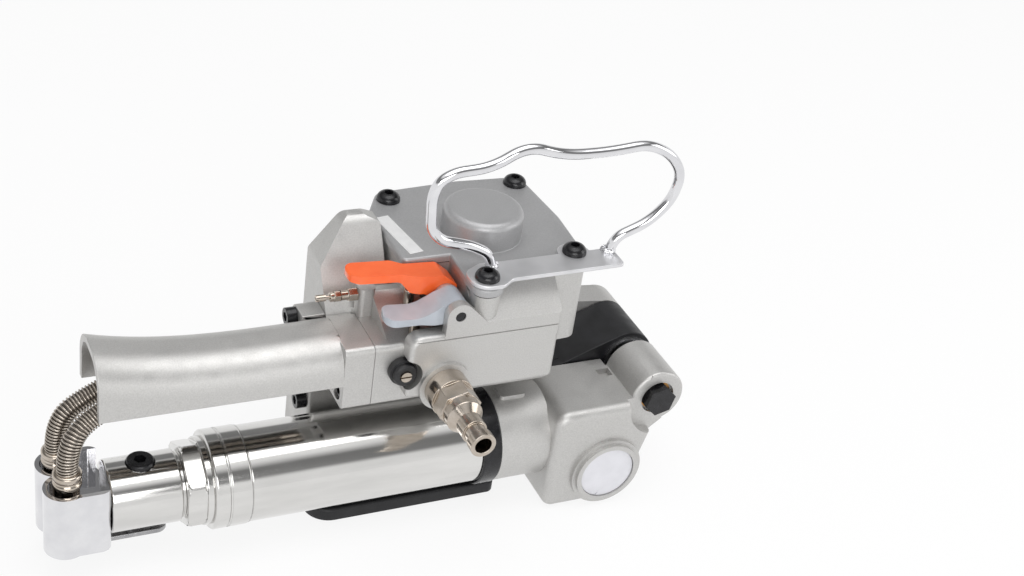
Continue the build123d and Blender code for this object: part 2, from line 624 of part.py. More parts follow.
def main_casting():
    """Cast aluminium body: deck, valve box, cylinder block, hood, column and hinge arm."""
    casting = prism_x(
        ((DECK_FRONT, CASTING_BOTTOM, 2), (DECK_FRONT, DECK_TOP, 3), (BODY_REAR - 6, DECK_TOP),
         (BODY_REAR - 6, CASTING_BOTTOM)), (DECK_LEFT, BOX_RIGHT))
    casting += prism_x(
        ((DECK_FRONT + 3, DECK_TOP - 1), (DECK_FRONT + 3, DECK_TOP), (BED_REAR, BED_TOP, 2), (BED_REAR + 4, BED_TOP),
         (BED_REAR + 4, DECK_TOP - 1)), (BED_LEFT, -36))
    casting += cylinder_wall()
    casting += block((BOX_RIGHT - 3, 40), (-11.5, 38), (CASTING_BOTTOM - 14, WALL_BOTTOM + 2))
    casting += valve_box()
    casting += hood()
    casting += column()
    casting += hinge_arm()
    casting -= rod_z(0, 0, (SLEEVE_BOTTOM, CASTING_TOP + 12), SLEEVE_RADIUS)
    casting -= rod_z(0, 0, (CARRIER_TOP, SLEEVE_BOTTOM), WELD_SHAFT_RADIUS + 3 * RUN)
    for side in (-1, 1):
        casting -= rod_z(side * POST_X, POST_Y, (CARRIER_TOP, SLEEVE_BOTTOM), POST_RADIUS + RUN)
    for x, y in BUTTON_PLACES:
        casting -= rod_z(x, y, (CASTING_TOP - 13, CASTING_TOP), BUTTON_SHANK + FIT)
    for x, y in (TENSION_PLUNGER, WELD_PLUNGER):
        casting -= rod_z(x, y, (PLUNGER_BOTTOM - PLUNGER_ROOM, BED_TOP), PLUNGER_RADIUS + RUN)
    casting -= rod_y(LEVER_PIN_X, (BOX_FRONT, -8), LEVER_PIN_Z, LEVER_PIN_RADIUS + FIT)
    casting -= rod_y(INLET_X, (BOX_FRONT - INLET_BOSS, -30), INLET_Z, PLUG_THREAD_RADIUS + FIT)
    casting -= rod_y(TIMER_X, (DECK_FRONT, DECK_FRONT + 10), TIMER_Z, TIMER_THREAD + FIT)
    for x, y in ARM_SCREWS:
        casting -= rod_z(x, y, (ARM_BOTTOM, ARM_BOTTOM + 24), CAP_SCREW_SHANK + FIT)
    for y, z in COLUMN_SCREWS:
        casting -= rod_x((COLUMN_LEFT, COLUMN_LEFT + CAP_SCREW_LENGTH + 1), y, z, CAP_SCREW_SHANK + FIT)
    for y, z in FLANGE_SCREWS:
        casting -= rod_x((DECK_LEFT, DECK_LEFT + 14), y, z, CAP_SCREW_SHANK + FIT)
    casting -= rod_x((HOOD_LEFT, LUG_LEFT + CAP_SCREW_LENGTH + 1), LUG_Y, LUG_Z, CAP_SCREW_SHANK + FIT)
    casting += adjuster_boss()
    return casting


# ---- cover, gasket, hanger -----------------------------------------------------------------------------------
def top_cover():
    """Screwed cover with the boss over the weld cylinder."""
    cover = extrude(Pos(0, 0, COVER_BOTTOM) * outline(COVER_OUTLINE), COVER_THICKNESS)
    cover = fillet(cover.edges().group_by(Axis.Z)[-1], 1.2)
    boss = rod_z(0, 0, (COVER_BOTTOM + 1, COVER_TOP + WELD_BOSS_HEIGHT), WELD_BOSS_RADIUS)
    boss = fillet(boss.edges().group_by(Axis.Z)[-1], 3.5)
    cover += boss
    cover -= rod_z(0, 0, (COVER_BOTTOM, COVER_TOP + WELD_BOSS_HEIGHT - 5), WELD_BOSS_RADIUS - 5)
    for x, y in BUTTON_PLACES:
        cover -= rod_z(x, y, (COVER_BOTTOM, COVER_TOP), BUTTON_SHANK + FIT)
    return cover


def cover_gasket():
    gasket = extrude(Pos(0, 0, CASTING_TOP) * inner_outline(COVER_MARGIN), GASKET)
    gasket -= rod_z(0, 0, (CASTING_TOP, COVER_BOTTOM), SLEEVE_RADIUS + 0.5)
    for x, y in BUTTON_PLACES:
        gasket -= rod_z(x, y, (CASTING_TOP, COVER_BOTTOM), BUTTON_SHANK + 0.2)
    return gasket


def button_screw(x, y, seat):
    """Button head screw with a hexagon socket."""
    head = rod_z(x, y, (seat, seat + BUTTON_HEIGHT), BUTTON_RADIUS)
    head = fillet(head.edges().group_by(Axis.Z)[-1], BUTTON_DOME)
    head += rod_z(x, y, (seat - BUTTON_LENGTH, seat), BUTTON_SHANK)
    socket = Pos(x, y, seat + BUTTON_HEIGHT - 2.4) * extrude(RegularPolygon(2.3, 6), 3)
    return (head - socket).solid()


def cover_screws():
    rear = [button_screw(x, y, COVER_TOP) for x, y in BUTTON_PLACES[:2]]
    front = [button_screw(x, y, COVER_TOP + BRACKET_THICKNESS) for x, y in BUTTON_PLACES[2:]]
    return Compound(children=rear + front)


def hanger_bracket():
    """Flat strip under the two front screws."""
    z = (COVER_TOP, COVER_TOP + BRACKET_THICKNESS)
    strip = prism_z(
        ((-22.4, -48, 8), (-9, -48, 6), (-3, -43.6, 4), (54.5, -43, 2), (54.5, -28.4, 2), (-4, -28.4, 3),
         (-13, -27.8, 5), (-22.4, -33, 6)), z)
    strip += rod_z(BUTTON_PLACES[2][0], BUTTON_PLACES[2][1], z, 8)
    for x, y in BUTTON_PLACES[2:]:
        strip -= rod_z(x, y, z, BUTTON_SHANK + FIT)
    return strip


def hanger_bail():
    """Bent wire loop that the tool hangs from."""
    seat = COVER_TOP + BRACKET_THICKNESS
    points = (
        (-8.2, seat - 1), (-11, 139), (-20, 144), (-34.6, 148.4), (-40.6, 155), (-41.8, 171), (-39.5, 179),
        (-32, 182.6), (-15.4, 183.5), (1.0, 192.4), (20, 186), (41, 185.4), (62, 187.4), (75, 181),
        (82.8, 170), (80.4, 156.5), (70, 145.5), (54.5, 139.5), (51.1, seat - 1))
    bail = tube_along([(x, BAIL_Y, z) for x, z in points], BAIL_WIRE)
    return bail - block((-30, 70), (BAIL_Y - 5, BAIL_Y + 5), (seat - 6, seat))


# ---- handle and its fittings --------------------------------------------------------------------------------------
def handle_section(x, crest, inset):
    """Inverted U, rounded on top, in a plane across the tool."""
    plane = Plane(origin=(x, 0, 0), x_dir=(0, 1, 0), z_dir=(1, 0, 0))
    front = HANDLE_FRONT + inset
    rear = HANDLE_REAR - inset
    bottom = HANDLE_BOTTOM - (1 if inset else 0)
    face = make_face(Polyline((front, bottom), (front, crest - inset), (rear, crest - inset), (rear, bottom),
                              close=True).edges())
    upper = face.vertices().group_by(Axis.Y)[-1]
    return plane * fillet(upper, HANDLE_ROUND - inset)


def handle_loft(left, right, inset):
    """Body of the handle between two ends, flared towards the hose end."""
    sections = []
    for share in (0.0, 0.22, 0.5, 1.0):
        x = left + (right - left) * share
        lift = HANDLE_FLARE * max(0.0, (HANDLE_LEFT + 60 - x) / 60) ** 2
        sections.append(handle_section(x, HANDLE_CREST + lift, inset))
    return loft(sections)


def handle():
    """Grip casting, open below and at the hose end, with its flange and its lug on the hood."""
    grip = handle_loft(HANDLE_LEFT, FLANGE_LEFT + 1, 0)
    grip += rod_x((LUG_LEFT, HOOD_LEFT), LUG_Y, LUG_Z, LUG_RADIUS)
    grip += block((LUG_LEFT, HOOD_LEFT), (LUG_Y - LUG_ROOT, LUG_Y), (LUG_Z - LUG_RADIUS, LUG_Z + LUG_RADIUS))
    grip -= handle_loft(HANDLE_LEFT - 1, HANDLE_END, HANDLE_WALL)
    grip += prism_x(
        ((HANDLE_FRONT, CASTING_BOTTOM, 2), (HANDLE_FRONT, FLANGE_TOP, 3), (FLANGE_REAR, FLANGE_TOP, 2),
         (FLANGE_REAR, CASTING_BOTTOM, 2)), (FLANGE_LEFT, DECK_LEFT))
    for y, z in FLANGE_SCREWS:
        grip -= rod_x((FLANGE_LEFT, DECK_LEFT), y, z, CAP_SCREW_SHANK + FIT)
        grip -= rod_x((FLANGE_LEFT, FLANGE_LEFT + 6), y, z, CAP_SCREW_HEAD + 0.3)
    grip -= rod_x((LUG_LEFT, HOOD_LEFT), LUG_Y, LUG_Z, CAP_SCREW_SHANK + FIT)
    for y in HOSE_ENDS:
        grip -= rod_x((HANDLE_END, HANDLE_END + 8), y, HOSE_CHANNEL_Z, FITTING_SHANK + FIT)
    return grip


def hose_fittings():
    """Nickel fittings that hold the hoses at the flange."""
    fittings = []
    for y in HOSE_ENDS:
        fitting = hexagon_x((HANDLE_END - FITTING_LENGTH, HANDLE_END), y, HOSE_CHANNEL_Z, FERRULE_RADIUS)
        fitting += rod_x((HANDLE_END, HANDLE_END + 7), y, HOSE_CHANNEL_Z, FITTING_SHANK)
        fittings.append(fitting.solid())
    return Compound(children=fittings)


def hose_route(ferrule, channel_y):
    """Route of one hose from its ferrule to its fitting in the handle."""
    x, y = ferrule
    return (
        (x, y, FERRULE_TOP), (x, y, FERRULE_TOP + 16),
        (x + 15, channel_y, HOSE_CHANNEL_Z - 9), (x + 40, channel_y, HOSE_CHANNEL_Z),
        (HANDLE_END - FITTING_LENGTH, channel_y, HOSE_CHANNEL_Z))


def air_hose(index):
    """Braided hose, straight runs joined by tangent arcs."""
    route = hose_route(FERRULES[index], HOSE_ENDS[index])
    hose = tube_along(route, HOSE_RADIUS)
    radii = ", ".join(f"{radius:.1f}" for radius in bend_radii(route))
    print(f"hose {index}: bend radii {radii} mm, volume / section {hose.volume / math.pi / HOSE_RADIUS**2:.1f} mm")
    return hose


def cap_screws():
    """Identical cap screws: column, flange, lug and frame."""
    screws = []
    for y, z in COLUMN_SCREWS:
        screws.append(Pos(COLUMN_LEFT, y, z) * cap_screw())
    for y, z in FLANGE_SCREWS:
        screws.append(Pos(FLANGE_LEFT + 6, y, z) * cap_screw())
    screws.append(Pos(LUG_LEFT, LUG_Y, LUG_Z) * cap_screw())
    for x, y in ARM_SCREWS:
        screws.append(Pos(x, y, ARM_BOTTOM) * Rot(0, -90, 0) * cap_screw())
    return Compound(children=[screw.solid() for screw in screws])


# ---- inlet, timer, adjuster --------------------------------------------------------------------------------------------
def air_plug():
    """Nickel quick-connect plug for the air hose."""
    seat = BOX_FRONT - INLET_BOSS
    plug = rod_y(INLET_X, (seat - 9, seat), INLET_Z, PLUG_BODY_RADIUS)
    plug += hexagon_y(INLET_X, (seat - 18, seat - 9), INLET_Z, PLUG_BODY_RADIUS)
    plug += rod_y(INLET_X, (seat - 23, seat - 18), INLET_Z, 8.6)
    taper = Pos(INLET_X, seat - 25, INLET_Z) * Rot(90, 0, 0) * Cone(8.6, 5.0, 4)
    plug += taper
    tip = seat - PLUG_BODY_LENGTH - PLUG_NOSE_LENGTH
    plug += rod_y(INLET_X, (tip, seat - PLUG_BODY_LENGTH), INLET_Z, 5.0)
    plug += rod_y(INLET_X, (tip, tip + 5), INLET_Z, PLUG_NOSE_RADIUS)
    plug += rod_y(INLET_X, (tip + 10, seat - PLUG_BODY_LENGTH), INLET_Z, PLUG_NOSE_RADIUS)
    plug += rod_y(INLET_X, (seat, DECK_FRONT + 4), INLET_Z, PLUG_THREAD_RADIUS)
    return plug - rod_y(INLET_X, (tip, DECK_FRONT + 4), INLET_Z, PLUG_BORE)


def timer_plug():
    """Black plug around the timer screw."""
    plug = rod_y(TIMER_X, (DECK_FRONT - TIMER_COLLAR, DECK_FRONT), TIMER_Z, TIMER_RADIUS)
    cap = rod_y(TIMER_X, (DECK_FRONT - TIMER_HEIGHT, DECK_FRONT - TIMER_COLLAR), TIMER_Z, TIMER_RADIUS - 0.9)
    plug += chamfer(cap.faces().sort_by(Axis.Y)[0].edges(), 0.8)
    plug += rod_y(TIMER_X, (DECK_FRONT, DECK_FRONT + 9), TIMER_Z, TIMER_THREAD)
    return plug - rod_y(TIMER_X, (DECK_FRONT - TIMER_HEIGHT, DECK_FRONT + 9), TIMER_Z, TIMER_SCREW + RUN)


def timer_screw():
    """Slotted screw that sets the weld time."""
    y = (DECK_FRONT - TIMER_HEIGHT - 0.8, DECK_FRONT + 8)
    screw = rod_y(TIMER_X, y, TIMER_Z, TIMER_SCREW)
    return screw - block((TIMER_X - 3, TIMER_X + 3), (y[0], y[0] + 1.2), (TIMER_Z - 0.4, TIMER_Z + 0.4))


def adjuster_body():
    """Fitting that holds the needle."""
    seat = DECK_LEFT
    body = rod_x((seat - 13, seat), ADJUSTER_Y, ADJUSTER_Z, 2.2)
    body += hexagon_x((seat - 4.5, seat), ADJUSTER_Y, ADJUSTER_Z, 3.3)
    body += hexagon_x((seat - 11, seat - 8), ADJUSTER_Y, ADJUSTER_Z, 2.7)
    body += rod_x((seat, seat + 4.5), ADJUSTER_Y, ADJUSTER_Z, 2)
    return body - rod_x((seat - 13, seat - 1.5), ADJUSTER_Y, ADJUSTER_Z, 1 + RUN)


def adjuster_needle():
    tip = DECK_LEFT - 19.5
    needle = rod_x((tip, DECK_LEFT - 2), ADJUSTER_Y, ADJUSTER_Z, 1)
    needle += rod_x((tip, tip + 4.5), ADJUSTER_Y, ADJUSTER_Z, 1.6)
    return needle - block((tip, tip + 0.8), (ADJUSTER_Y - 2, ADJUSTER_Y + 2), (ADJUSTER_Z - 0.25, ADJUSTER_Z + 0.25))


# ---- levers -----------------------------------------------------------------------------------------------------------------
def lever_pin():
    return rod_y(LEVER_PIN_X, (BOX_FRONT + 0.6, -8.5), LEVER_PIN_Z, LEVER_PIN_RADIUS)


def tension_lever():
    """Grey lever in front."""
    x, z = LEVER_PIN_X, LEVER_PIN_Z
    side = prism_y(
        ((x - 32, z - 6.2, 1.5), (x - 32, z - 2.4, 1.5), (x - 16, z - 3, 8), (x - 7.5, z + 3.5, 5), (x, z + 6),
         (x + 5.9, z + 1), (x + 4, z - 4.5), (x, z - 5.9), (x - 7, z - 6, 4), (x - 13, z - 6.4, 4)), (-50, -20))
    plan = prism_z(
        ((x - 32, -36.5, 4), (x - 30.5, -27.6, 4), (x - 16.5, -28.8, 5), (x - 8.5, TENSION_LEVER_Y[1], 5),
         (x + 6.5, TENSION_LEVER_Y[1]), (x + 6.5, TENSION_LEVER_Y[0]), (x - 9.5, TENSION_LEVER_Y[0], 5),
         (x - 15.5, -41.4, 5), (x - 29, -41, 4)), (z - 12, z + 12))
    lever = side & plan
    lever += rod_y(x, TENSION_LEVER_Y, z, 6)
    return lever - rod_y(x, TENSION_LEVER_Y, z, LEVER_PIN_RADIUS + RUN)


def weld_lever():
    """Orange lever behind it."""
    x, z = LEVER_PIN_X, LEVER_PIN_Z
    side = prism_y(
        ((x - 45, z + 9, 1.5), (x - 45, z + 12.6, 1.5), (x - 18.5, z + 10.6, 8), (x - 1, z + 9.5, 3), (x + 5.6, z + 4),
         (x + 5.9, z), (x, z - 5.9), (x - 10, z + 1.0, 2), (x - 16.5, z + 1.5, 2), (x - 21, z + 6.8, 4)), (-40, -5))
    plan = prism_z(
        ((x - 45, -22.5, 4), (x - 44.5, -13.2, 5), (x - 22, -12.8, 4), (x - 17, WELD_LEVER_Y[1], 4),
         (x + 6.5, WELD_LEVER_Y[1]), (x + 6.5, WELD_LEVER_Y[0]), (x - 12.5, WELD_LEVER_Y[0], 5),
         (x - 20, -25.2, 5), (x - 41, -25.6, 5)), (z - 14, z + 14))
    lever = side & plan
    lever += rod_y(x, WELD_LEVER_Y, z, 6)
    return lever - rod_y(x, WELD_LEVER_Y, z, LEVER_PIN_RADIUS + RUN)


def plunger(place, top):
    """Valve plunger under a lever."""
    return fillet(rod_z(place[0], place[1], (PLUNGER_BOTTOM, top), PLUNGER_RADIUS).edges().group_by(Axis.Z)[-1], 0.8)


# ---- hinge ------------------------------------------------------------------------------------------------------------------------
def hinge_pin():
    """Hinge bolt with a hexagonal head that stands out of the ear."""
    bolt = rod_y(HINGE_X, (PIN_SEAT, FAR_BOSS[1] - 1), HINGE_Z, PIN_RADIUS)
    head = hexagon_y(HINGE_X, (PIN_SEAT - PIN_HEAD_HEIGHT, PIN_SEAT), HINGE_Z, PIN_HEAD_RADIUS)
    return bolt + head


def hinge_washers():
    """Washers on both sides of the return spring."""
    washers = []
    for front in (EAR_REAR + 0.1, WEB_FRONT - WASHER_THICKNESS):
        y = (front, front + WASHER_THICKNESS)
        washer = rod_y(HINGE_X, y, HINGE_Z, WASHER_RADIUS) - rod_y(HINGE_X, y, HINGE_Z, PIN_RADIUS + RUN)
        washers.append(washer.solid())
    return Compound(children=washers)


def return_spring():
    """Torsion spring of two turns around the hinge pin."""
    front = EAR_REAR + WASHER_THICKNESS + SPRING_WIRE + 0.3
    rise = WEB_FRONT - WASHER_THICKNESS - SPRING_WIRE - 0.2 - front
    coil = Helix(pitch=rise / 1.25, height=rise, radius=SPRING_RADIUS)
    wire = sweep(Plane(origin=coil @ 0, z_dir=coil % 0) * Circle(SPRING_WIRE), path=coil)
    return Pos(HINGE_X, front, HINGE_Z) * Rot(-90, 0, 0) * wire


# ---- swinging arm: gear housing -------------------------------------------------------------------------------------------------
def gear_housing():
    """Cast housing of the worm drive with the ear of the hinge."""
    y = (HOUSING_FRONT, HOUSING_REAR)
    body = prism_y(
        ((HOUSING_LEFT, FOOT_GAP, 5), (WHEEL_X + 19, FOOT_GAP, FOOT_CORNER), (WHEEL_X + 19.6, WHEEL_Z + 4, 6),
         (WHEEL_X + 24, WHEEL_Z + 21), (WHEEL_X + 14, HOUSING_TOP, 6), (HOUSING_LEFT, HOUSING_TOP, 7)), y)
    body = fillet(body.faces().sort_by(Axis.Y)[0].edges(), HOUSING_EDGE)
    ear_y = (EAR_FRONT, EAR_REAR)
    body += prism_y(
        ((WHEEL_X, WHEEL_Z + 12), (WHEEL_X, HOUSING_TOP - 0.5), (HINGE_X - 14, HOUSING_TOP - 0.5, 6),
         (HINGE_X - 5, HINGE_Z + 13.4), (HINGE_X, HINGE_Z), (HINGE_X + 5, HINGE_Z - 13.4),
         (WHEEL_X + 19, WHEEL_Z + 12)), ear_y)
    ear = rod_y(HINGE_X, ear_y, HINGE_Z, EAR_RADIUS)
    body += fillet(ear.faces().sort_by(Axis.Y)[0].edges(), 1.5)
    neck_x = (RING_RIGHT, HOUSING_LEFT + 1)
    body += rod_x(neck_x, MOTOR_Y, MOTOR_Z, NECK_RADIUS)
    body += rounded(block((RING_RIGHT + 4, HOUSING_LEFT - 8), (MOTOR_Y - 6, MOTOR_Y + 5),
                          (MOTOR_Z, MOTOR_Z + NECK_RADIUS + 1.4)), 2, Axis.Z)
    body += rod_y(WHEEL_X, (HOUSING_FRONT - BOSS_STEP, HOUSING_FRONT + 1), WHEEL_Z, DISC_RADIUS + BOSS_FOOT)
    body += rod_y(WHEEL_X, (BOSS_FACE, HOUSING_FRONT), WHEEL_Z, DISC_RADIUS + BOSS_RIM)
    body -= rod_y(HINGE_X, (EAR_REAR, HOUSING_REAR + 1), HINGE_Z, EAR_RADIUS + 0.8)
    body -= rod_y(HINGE_X, (HOUSING_FRONT - 2, EAR_FRONT), HINGE_Z, EAR_RADIUS + 3)
    body -= rod_y(HINGE_X, (EAR_FRONT, PIN_SEAT), HINGE_Z, PIN_HEAD_RADIUS + PIN_HEAD_ROOM)
    body -= rod_y(HINGE_X, (PIN_SEAT, EAR_REAR), HINGE_Z, PIN_RADIUS + BUSH_WALL + FIT)
    body -= rod_y(WHEEL_X, (BOSS_FACE - 1, DISC_SEAT), WHEEL_Z, DISC_RADIUS + FIT)
    for bearing_y in WHEEL_BEARINGS:
        body -= rod_y(WHEEL_X, bearing_y, WHEEL_Z, WHEEL_BEARING_RADIUS + FIT)
    body -= rod_y(WHEEL_X, (DISC_SEAT, HOUSING_REAR), WHEEL_Z, WHEEL_SHAFT_RADIUS + 1.5)
    body -= rod_y(WHEEL_X, (DISC_SEAT, WHEEL_BEARINGS[0][0]), WHEEL_Z, WHEEL_BEARING_RADIUS + FIT)
    body -= rod_y(WHEEL_X, (WHEEL_BEARINGS[1][1], HOUSING_REAR), WHEEL_Z, WHEEL_BEARING_RADIUS - 2)
    half = WORM_GEAR_WIDTH / 2 + 0.8
    body -= rod_y(WHEEL_X, (MOTOR_Y - half, MOTOR_Y + half), WHEEL_Z, WORM_GEAR_RADIUS + 0.8)
    for bearing_x in WORM_BEARINGS:
        body -= rod_x(bearing_x, MOTOR_Y, MOTOR_Z, WORM_BEARING_RADIUS + FIT)
    body -= rod_x((RING_RIGHT, WORM_BEARINGS[0][0]), MOTOR_Y, MOTOR_Z, WORM_BEARING_RADIUS + FIT)
    body -= rod_x((RING_RIGHT, WORM_BEARINGS[1][1]), MOTOR_Y, MOTOR_Z, WORM_RADIUS + 0.9)
    body -= block((WHEEL_X + 4, WHEEL_X + 11), (-30, -24), (HOUSING_TOP - 3, HOUSING_TOP + 1))
    return body


def wheel_cover_disc():
    disc = rod_y(WHEEL_X, (DISC_SEAT - DISC_THICKNESS, DISC_SEAT), WHEEL_Z, DISC_RADIUS)
    return fillet(disc.faces().sort_by(Axis.Y)[0].edges(), 0.6)


def bearing_ring_y(x, y, z, inner, outer):
    return (rod_y(x, y, z, outer) - rod_y(x, y, z, inner)).solid()


def wheel_bearings():
    return Compound(children=[
        bearing_ring_y(WHEEL_X, y, WHEEL_Z, WHEEL_SHAFT_RADIUS + RUN, WHEEL_BEARING_RADIUS)
        for y in WHEEL_BEARINGS])


def worm_bearings():
    rings = []
    for x in WORM_BEARINGS:
        ring = rod_x(x, MOTOR_Y, MOTOR_Z, WORM_BEARING_RADIUS)
        ring -= rod_x(x, MOTOR_Y, MOTOR_Z, WORM_SHAFT_RADIUS + RUN)
        rings.append(ring.solid())
    return Compound(children=rings)


def pivot_bush():
    y = (PIN_SEAT + 0.2, EAR_REAR)
    bush = rod_y(HINGE_X, y, HINGE_Z, PIN_RADIUS + BUSH_WALL)
    return bush - rod_y(HINGE_X, y, HINGE_Z, PIN_RADIUS + RUN)


def wheel_shaft():
    """Shaft that carries the worm gear and the tension wheel."""
    shaft = rod_y(WHEEL_X, (DISC_SEAT + 0.5, WHEEL_HALF + 1.5), WHEEL_Z, WHEEL_SHAFT_RADIUS)
    return fillet(shaft.faces().sort_by(Axis.Y)[-1].edges(), 0.8)


def star(teeth, tip, root):
    """Corners of a finely toothed wheel."""
    corners = []
    for step in range(2 * teeth):
        radius = tip if step % 2 else root
        angle = math.pi * step / teeth
        corners.append((WHEEL_X + radius * math.cos(angle), WHEEL_Z + radius * math.sin(angle)))
    return corners


def tension_wheel():
    y = (-WHEEL_HALF, WHEEL_HALF)
    wheel = prism_y(star(WHEEL_TEETH, WHEEL_RADIUS, WHEEL_RADIUS - WHEEL_TOOTH), y)
    return wheel - rod_y(WHEEL_X, y, WHEEL_Z, WHEEL_SHAFT_RADIUS + FIT)


def worm_gear():
    """Bronze gear, its teeth clear of the thread by the mesh gap."""
    y = (MOTOR_Y - WORM_GEAR_WIDTH / 2, MOTOR_Y + WORM_GEAR_WIDTH / 2)
    gear = prism_y(star(WORM_GEAR_TEETH, WORM_GEAR_RADIUS, WORM_GEAR_RADIUS - WORM_GEAR_TOOTH), y)
    return gear - rod_y(WHEEL_X, y, WHEEL_Z, WHEEL_SHAFT_RADIUS + FIT)


# ---- swinging arm: motor and planet stage --------------------------------------------------------------------------------------------
def motor_ring():
    """Black ring between tube and gear housing, with a spigot into the tube."""
    ring = rod_x((RING_LEFT, RING_RIGHT), MOTOR_Y, MOTOR_Z, RING_RADIUS)
    ring = fillet(ring.edges(), 1.0)
    ring += rod_x((RING_LEFT - 8, RING_LEFT + 1), MOTOR_Y, MOTOR_Z, TUBE_BORE - FIT)
    return ring - rod_x((RING_LEFT - 8, RING_RIGHT), MOTOR_Y, MOTOR_Z, WORM_SHAFT_RADIUS + 2)


def motor_tube():
    """Polished tube with its collar."""
    tube = rod_x((TUBE_LEFT, RING_LEFT), MOTOR_Y, MOTOR_Z, TUBE_RADIUS)
    collar = rod_x((COLLAR_LEFT, TUBE_LEFT), MOTOR_Y, MOTOR_Z, COLLAR_RADIUS)
    tube += chamfer(collar.edges(), 0.8)
    groove = (COLLAR_LEFT + 6.5, COLLAR_LEFT + 7.5)
    tube -= rod_x(groove, MOTOR_Y, MOTOR_Z, COLLAR_RADIUS + 1) - rod_x(groove, MOTOR_Y, MOTOR_Z, COLLAR_RADIUS - 0.5)
    return tube - rod_x((COLLAR_LEFT, RING_LEFT), MOTOR_Y, MOTOR_Z, TUBE_BORE)


def coupling_nut():
    """Hexagonal coupling between the motor tube and the rear tube."""
    nut = hexagon_x((NUT_LEFT, NUT_FLANGE_LEFT), MOTOR_Y, MOTOR_Z, NUT_CORNER_RADIUS)
    blank = rod_x((NUT_LEFT, NUT_FLANGE_LEFT), MOTOR_Y, MOTOR_Z, NUT_CORNER_RADIUS - 0.3)
    nut = nut & chamfer(blank.edges(), 1.2)
    nut += rod_x((NUT_FLANGE_LEFT, COLLAR_LEFT), MOTOR_Y, MOTOR_Z, NUT_FLANGE_RADIUS)
    nut += rod_x((COLLAR_LEFT, TUBE_LEFT - 2), MOTOR_Y, MOTOR_Z, TUBE_BORE - FIT)
    nut += rod_x((REAR_TUBE_RIGHT, NUT_LEFT), MOTOR_Y, MOTOR_Z, NUT_NECK_RADIUS)
    return nut - rod_x((REAR_TUBE_RIGHT, TUBE_LEFT - 2), MOTOR_Y, MOTOR_Z, 10)


def rear_tube():
    """Polished rear tube with the seats of the socket plug and the throttle pin."""
    tube = rod_x((REAR_TUBE_LEFT, REAR_TUBE_RIGHT), MOTOR_Y, MOTOR_Z, REAR_TUBE_RADIUS)
    tube = chamfer(tube.edges(), 0.6)
    bore = REAR_TUBE_RADIUS - REAR_TUBE_WALL
    tube -= rod_x((REAR_TUBE_LEFT + 3, REAR_TUBE_RIGHT), MOTOR_Y, MOTOR_Z, bore)
    tube -= rod_z(SOCKET_PLUG_X, MOTOR_Y, (SOCKET_SEAT, SOCKET_SEAT + 4), SOCKET_PLUG_RADIUS + 0.2)
    tube -= rod_z(SOCKET_PLUG_X, MOTOR_Y, (MOTOR_Z, SOCKET_SEAT), SOCKET_PLUG_RADIUS - 1.5 + FIT)
    tube -= rod_z(THROTTLE_PIN_X, MOTOR_Y, (MOTOR_Z - REAR_TUBE_RADIUS - 1, MOTOR_Z), THROTTLE_PIN_RADIUS + RUN)
    return tube


def socket_plug():
    plug = rod_z(SOCKET_PLUG_X, MOTOR_Y, (SOCKET_SEAT, SOCKET_SEAT + 2.6), SOCKET_PLUG_RADIUS)
    plug = fillet(plug.edges().group_by(Axis.Z)[-1], 1.0)
    plug += rod_z(SOCKET_PLUG_X, MOTOR_Y, (SOCKET_SEAT - 4.5, SOCKET_SEAT), SOCKET_PLUG_RADIUS - 1.5)
    return plug - Pos(SOCKET_PLUG_X, MOTOR_Y, SOCKET_SEAT) * extrude(RegularPolygon(2.9, 6), 4)


def cap_blank(inset, z):
    """Clover-shaped block of the rear cap, or its hollow."""
    left = CAP_LEFT + CAP_LOBE
    solid = prism_z(
        ((left - 3, -46.0 + inset), (REAR_TUBE_LEFT - inset, -46.0 + inset, 5 - inset),
         (REAR_TUBE_LEFT - inset, -12.5 - inset, 5 - inset), (left - 3, -11.5 - inset),
         (left - 3, -27, 2), (left - 3.2, -29, 2), (left - 3, -31)), z)
    for x, y in LOBES:
        solid += rod_z(x, y, z, CAP_LOBE - inset)
    return solid


def rear_cap():
    """Chromed cap that the two hoses enter, with the fork of the throttle lever."""
    cap = cap_blank(0, (CAP_BOTTOM, CAP_TOP))
    cap -= cap_blank(CAP_WALL, (CAP_FLOOR, CAP_TOP))
    cap -= block((REAR_TUBE_LEFT - 2 * CAP_WALL, REAR_TUBE_LEFT), (-46 + CAP_WALL, -12.5 - CAP_WALL), (CAP_FLOOR, CAP_TOP))
    for x, y in FERRULES:
        cap -= rod_z(x, y, (CAP_FLOOR - 8, CAP_FLOOR), FITTING_SHANK + FIT)
    fork_x = (THROTTLE_PIVOT_X - 4, REAR_TUBE_LEFT)
    for side in (-1, 1):
        inner = MOTOR_Y + side * (THROTTLE_WIDTH / 2 + SIDE)
        outer = inner + side * CHEEK_THICKNESS
        cheek = block(fork_x, (min(inner, outer), max(inner, outer)), (THROTTLE_PIVOT_Z - 3.5, CAP_BOTTOM + 2))
        cap += cheek
    pivot_y = (MOTOR_Y - THROTTLE_WIDTH, MOTOR_Y + THROTTLE_WIDTH)
    return cap - rod_y(THROTTLE_PIVOT_X, pivot_y, THROTTLE_PIVOT_Z, 1.5 + RUN)


def hose_ferrules():
    """Nickel ferrules at the cap."""
    ferrules = []
    for x, y in FERRULES:
        ferrule = rod_z(x, y, (CAP_FLOOR, FERRULE_TOP), FERRULE_RADIUS)
        ferrule = fillet(ferrule.edges().group_by(Axis.Z)[-1], 0.5)
        ferrule += rod_z(x, y, (CAP_FLOOR - 7, CAP_FLOOR), FITTING_SHANK)
        ferrules.append(ferrule.solid())
    return Compound(children=ferrules)


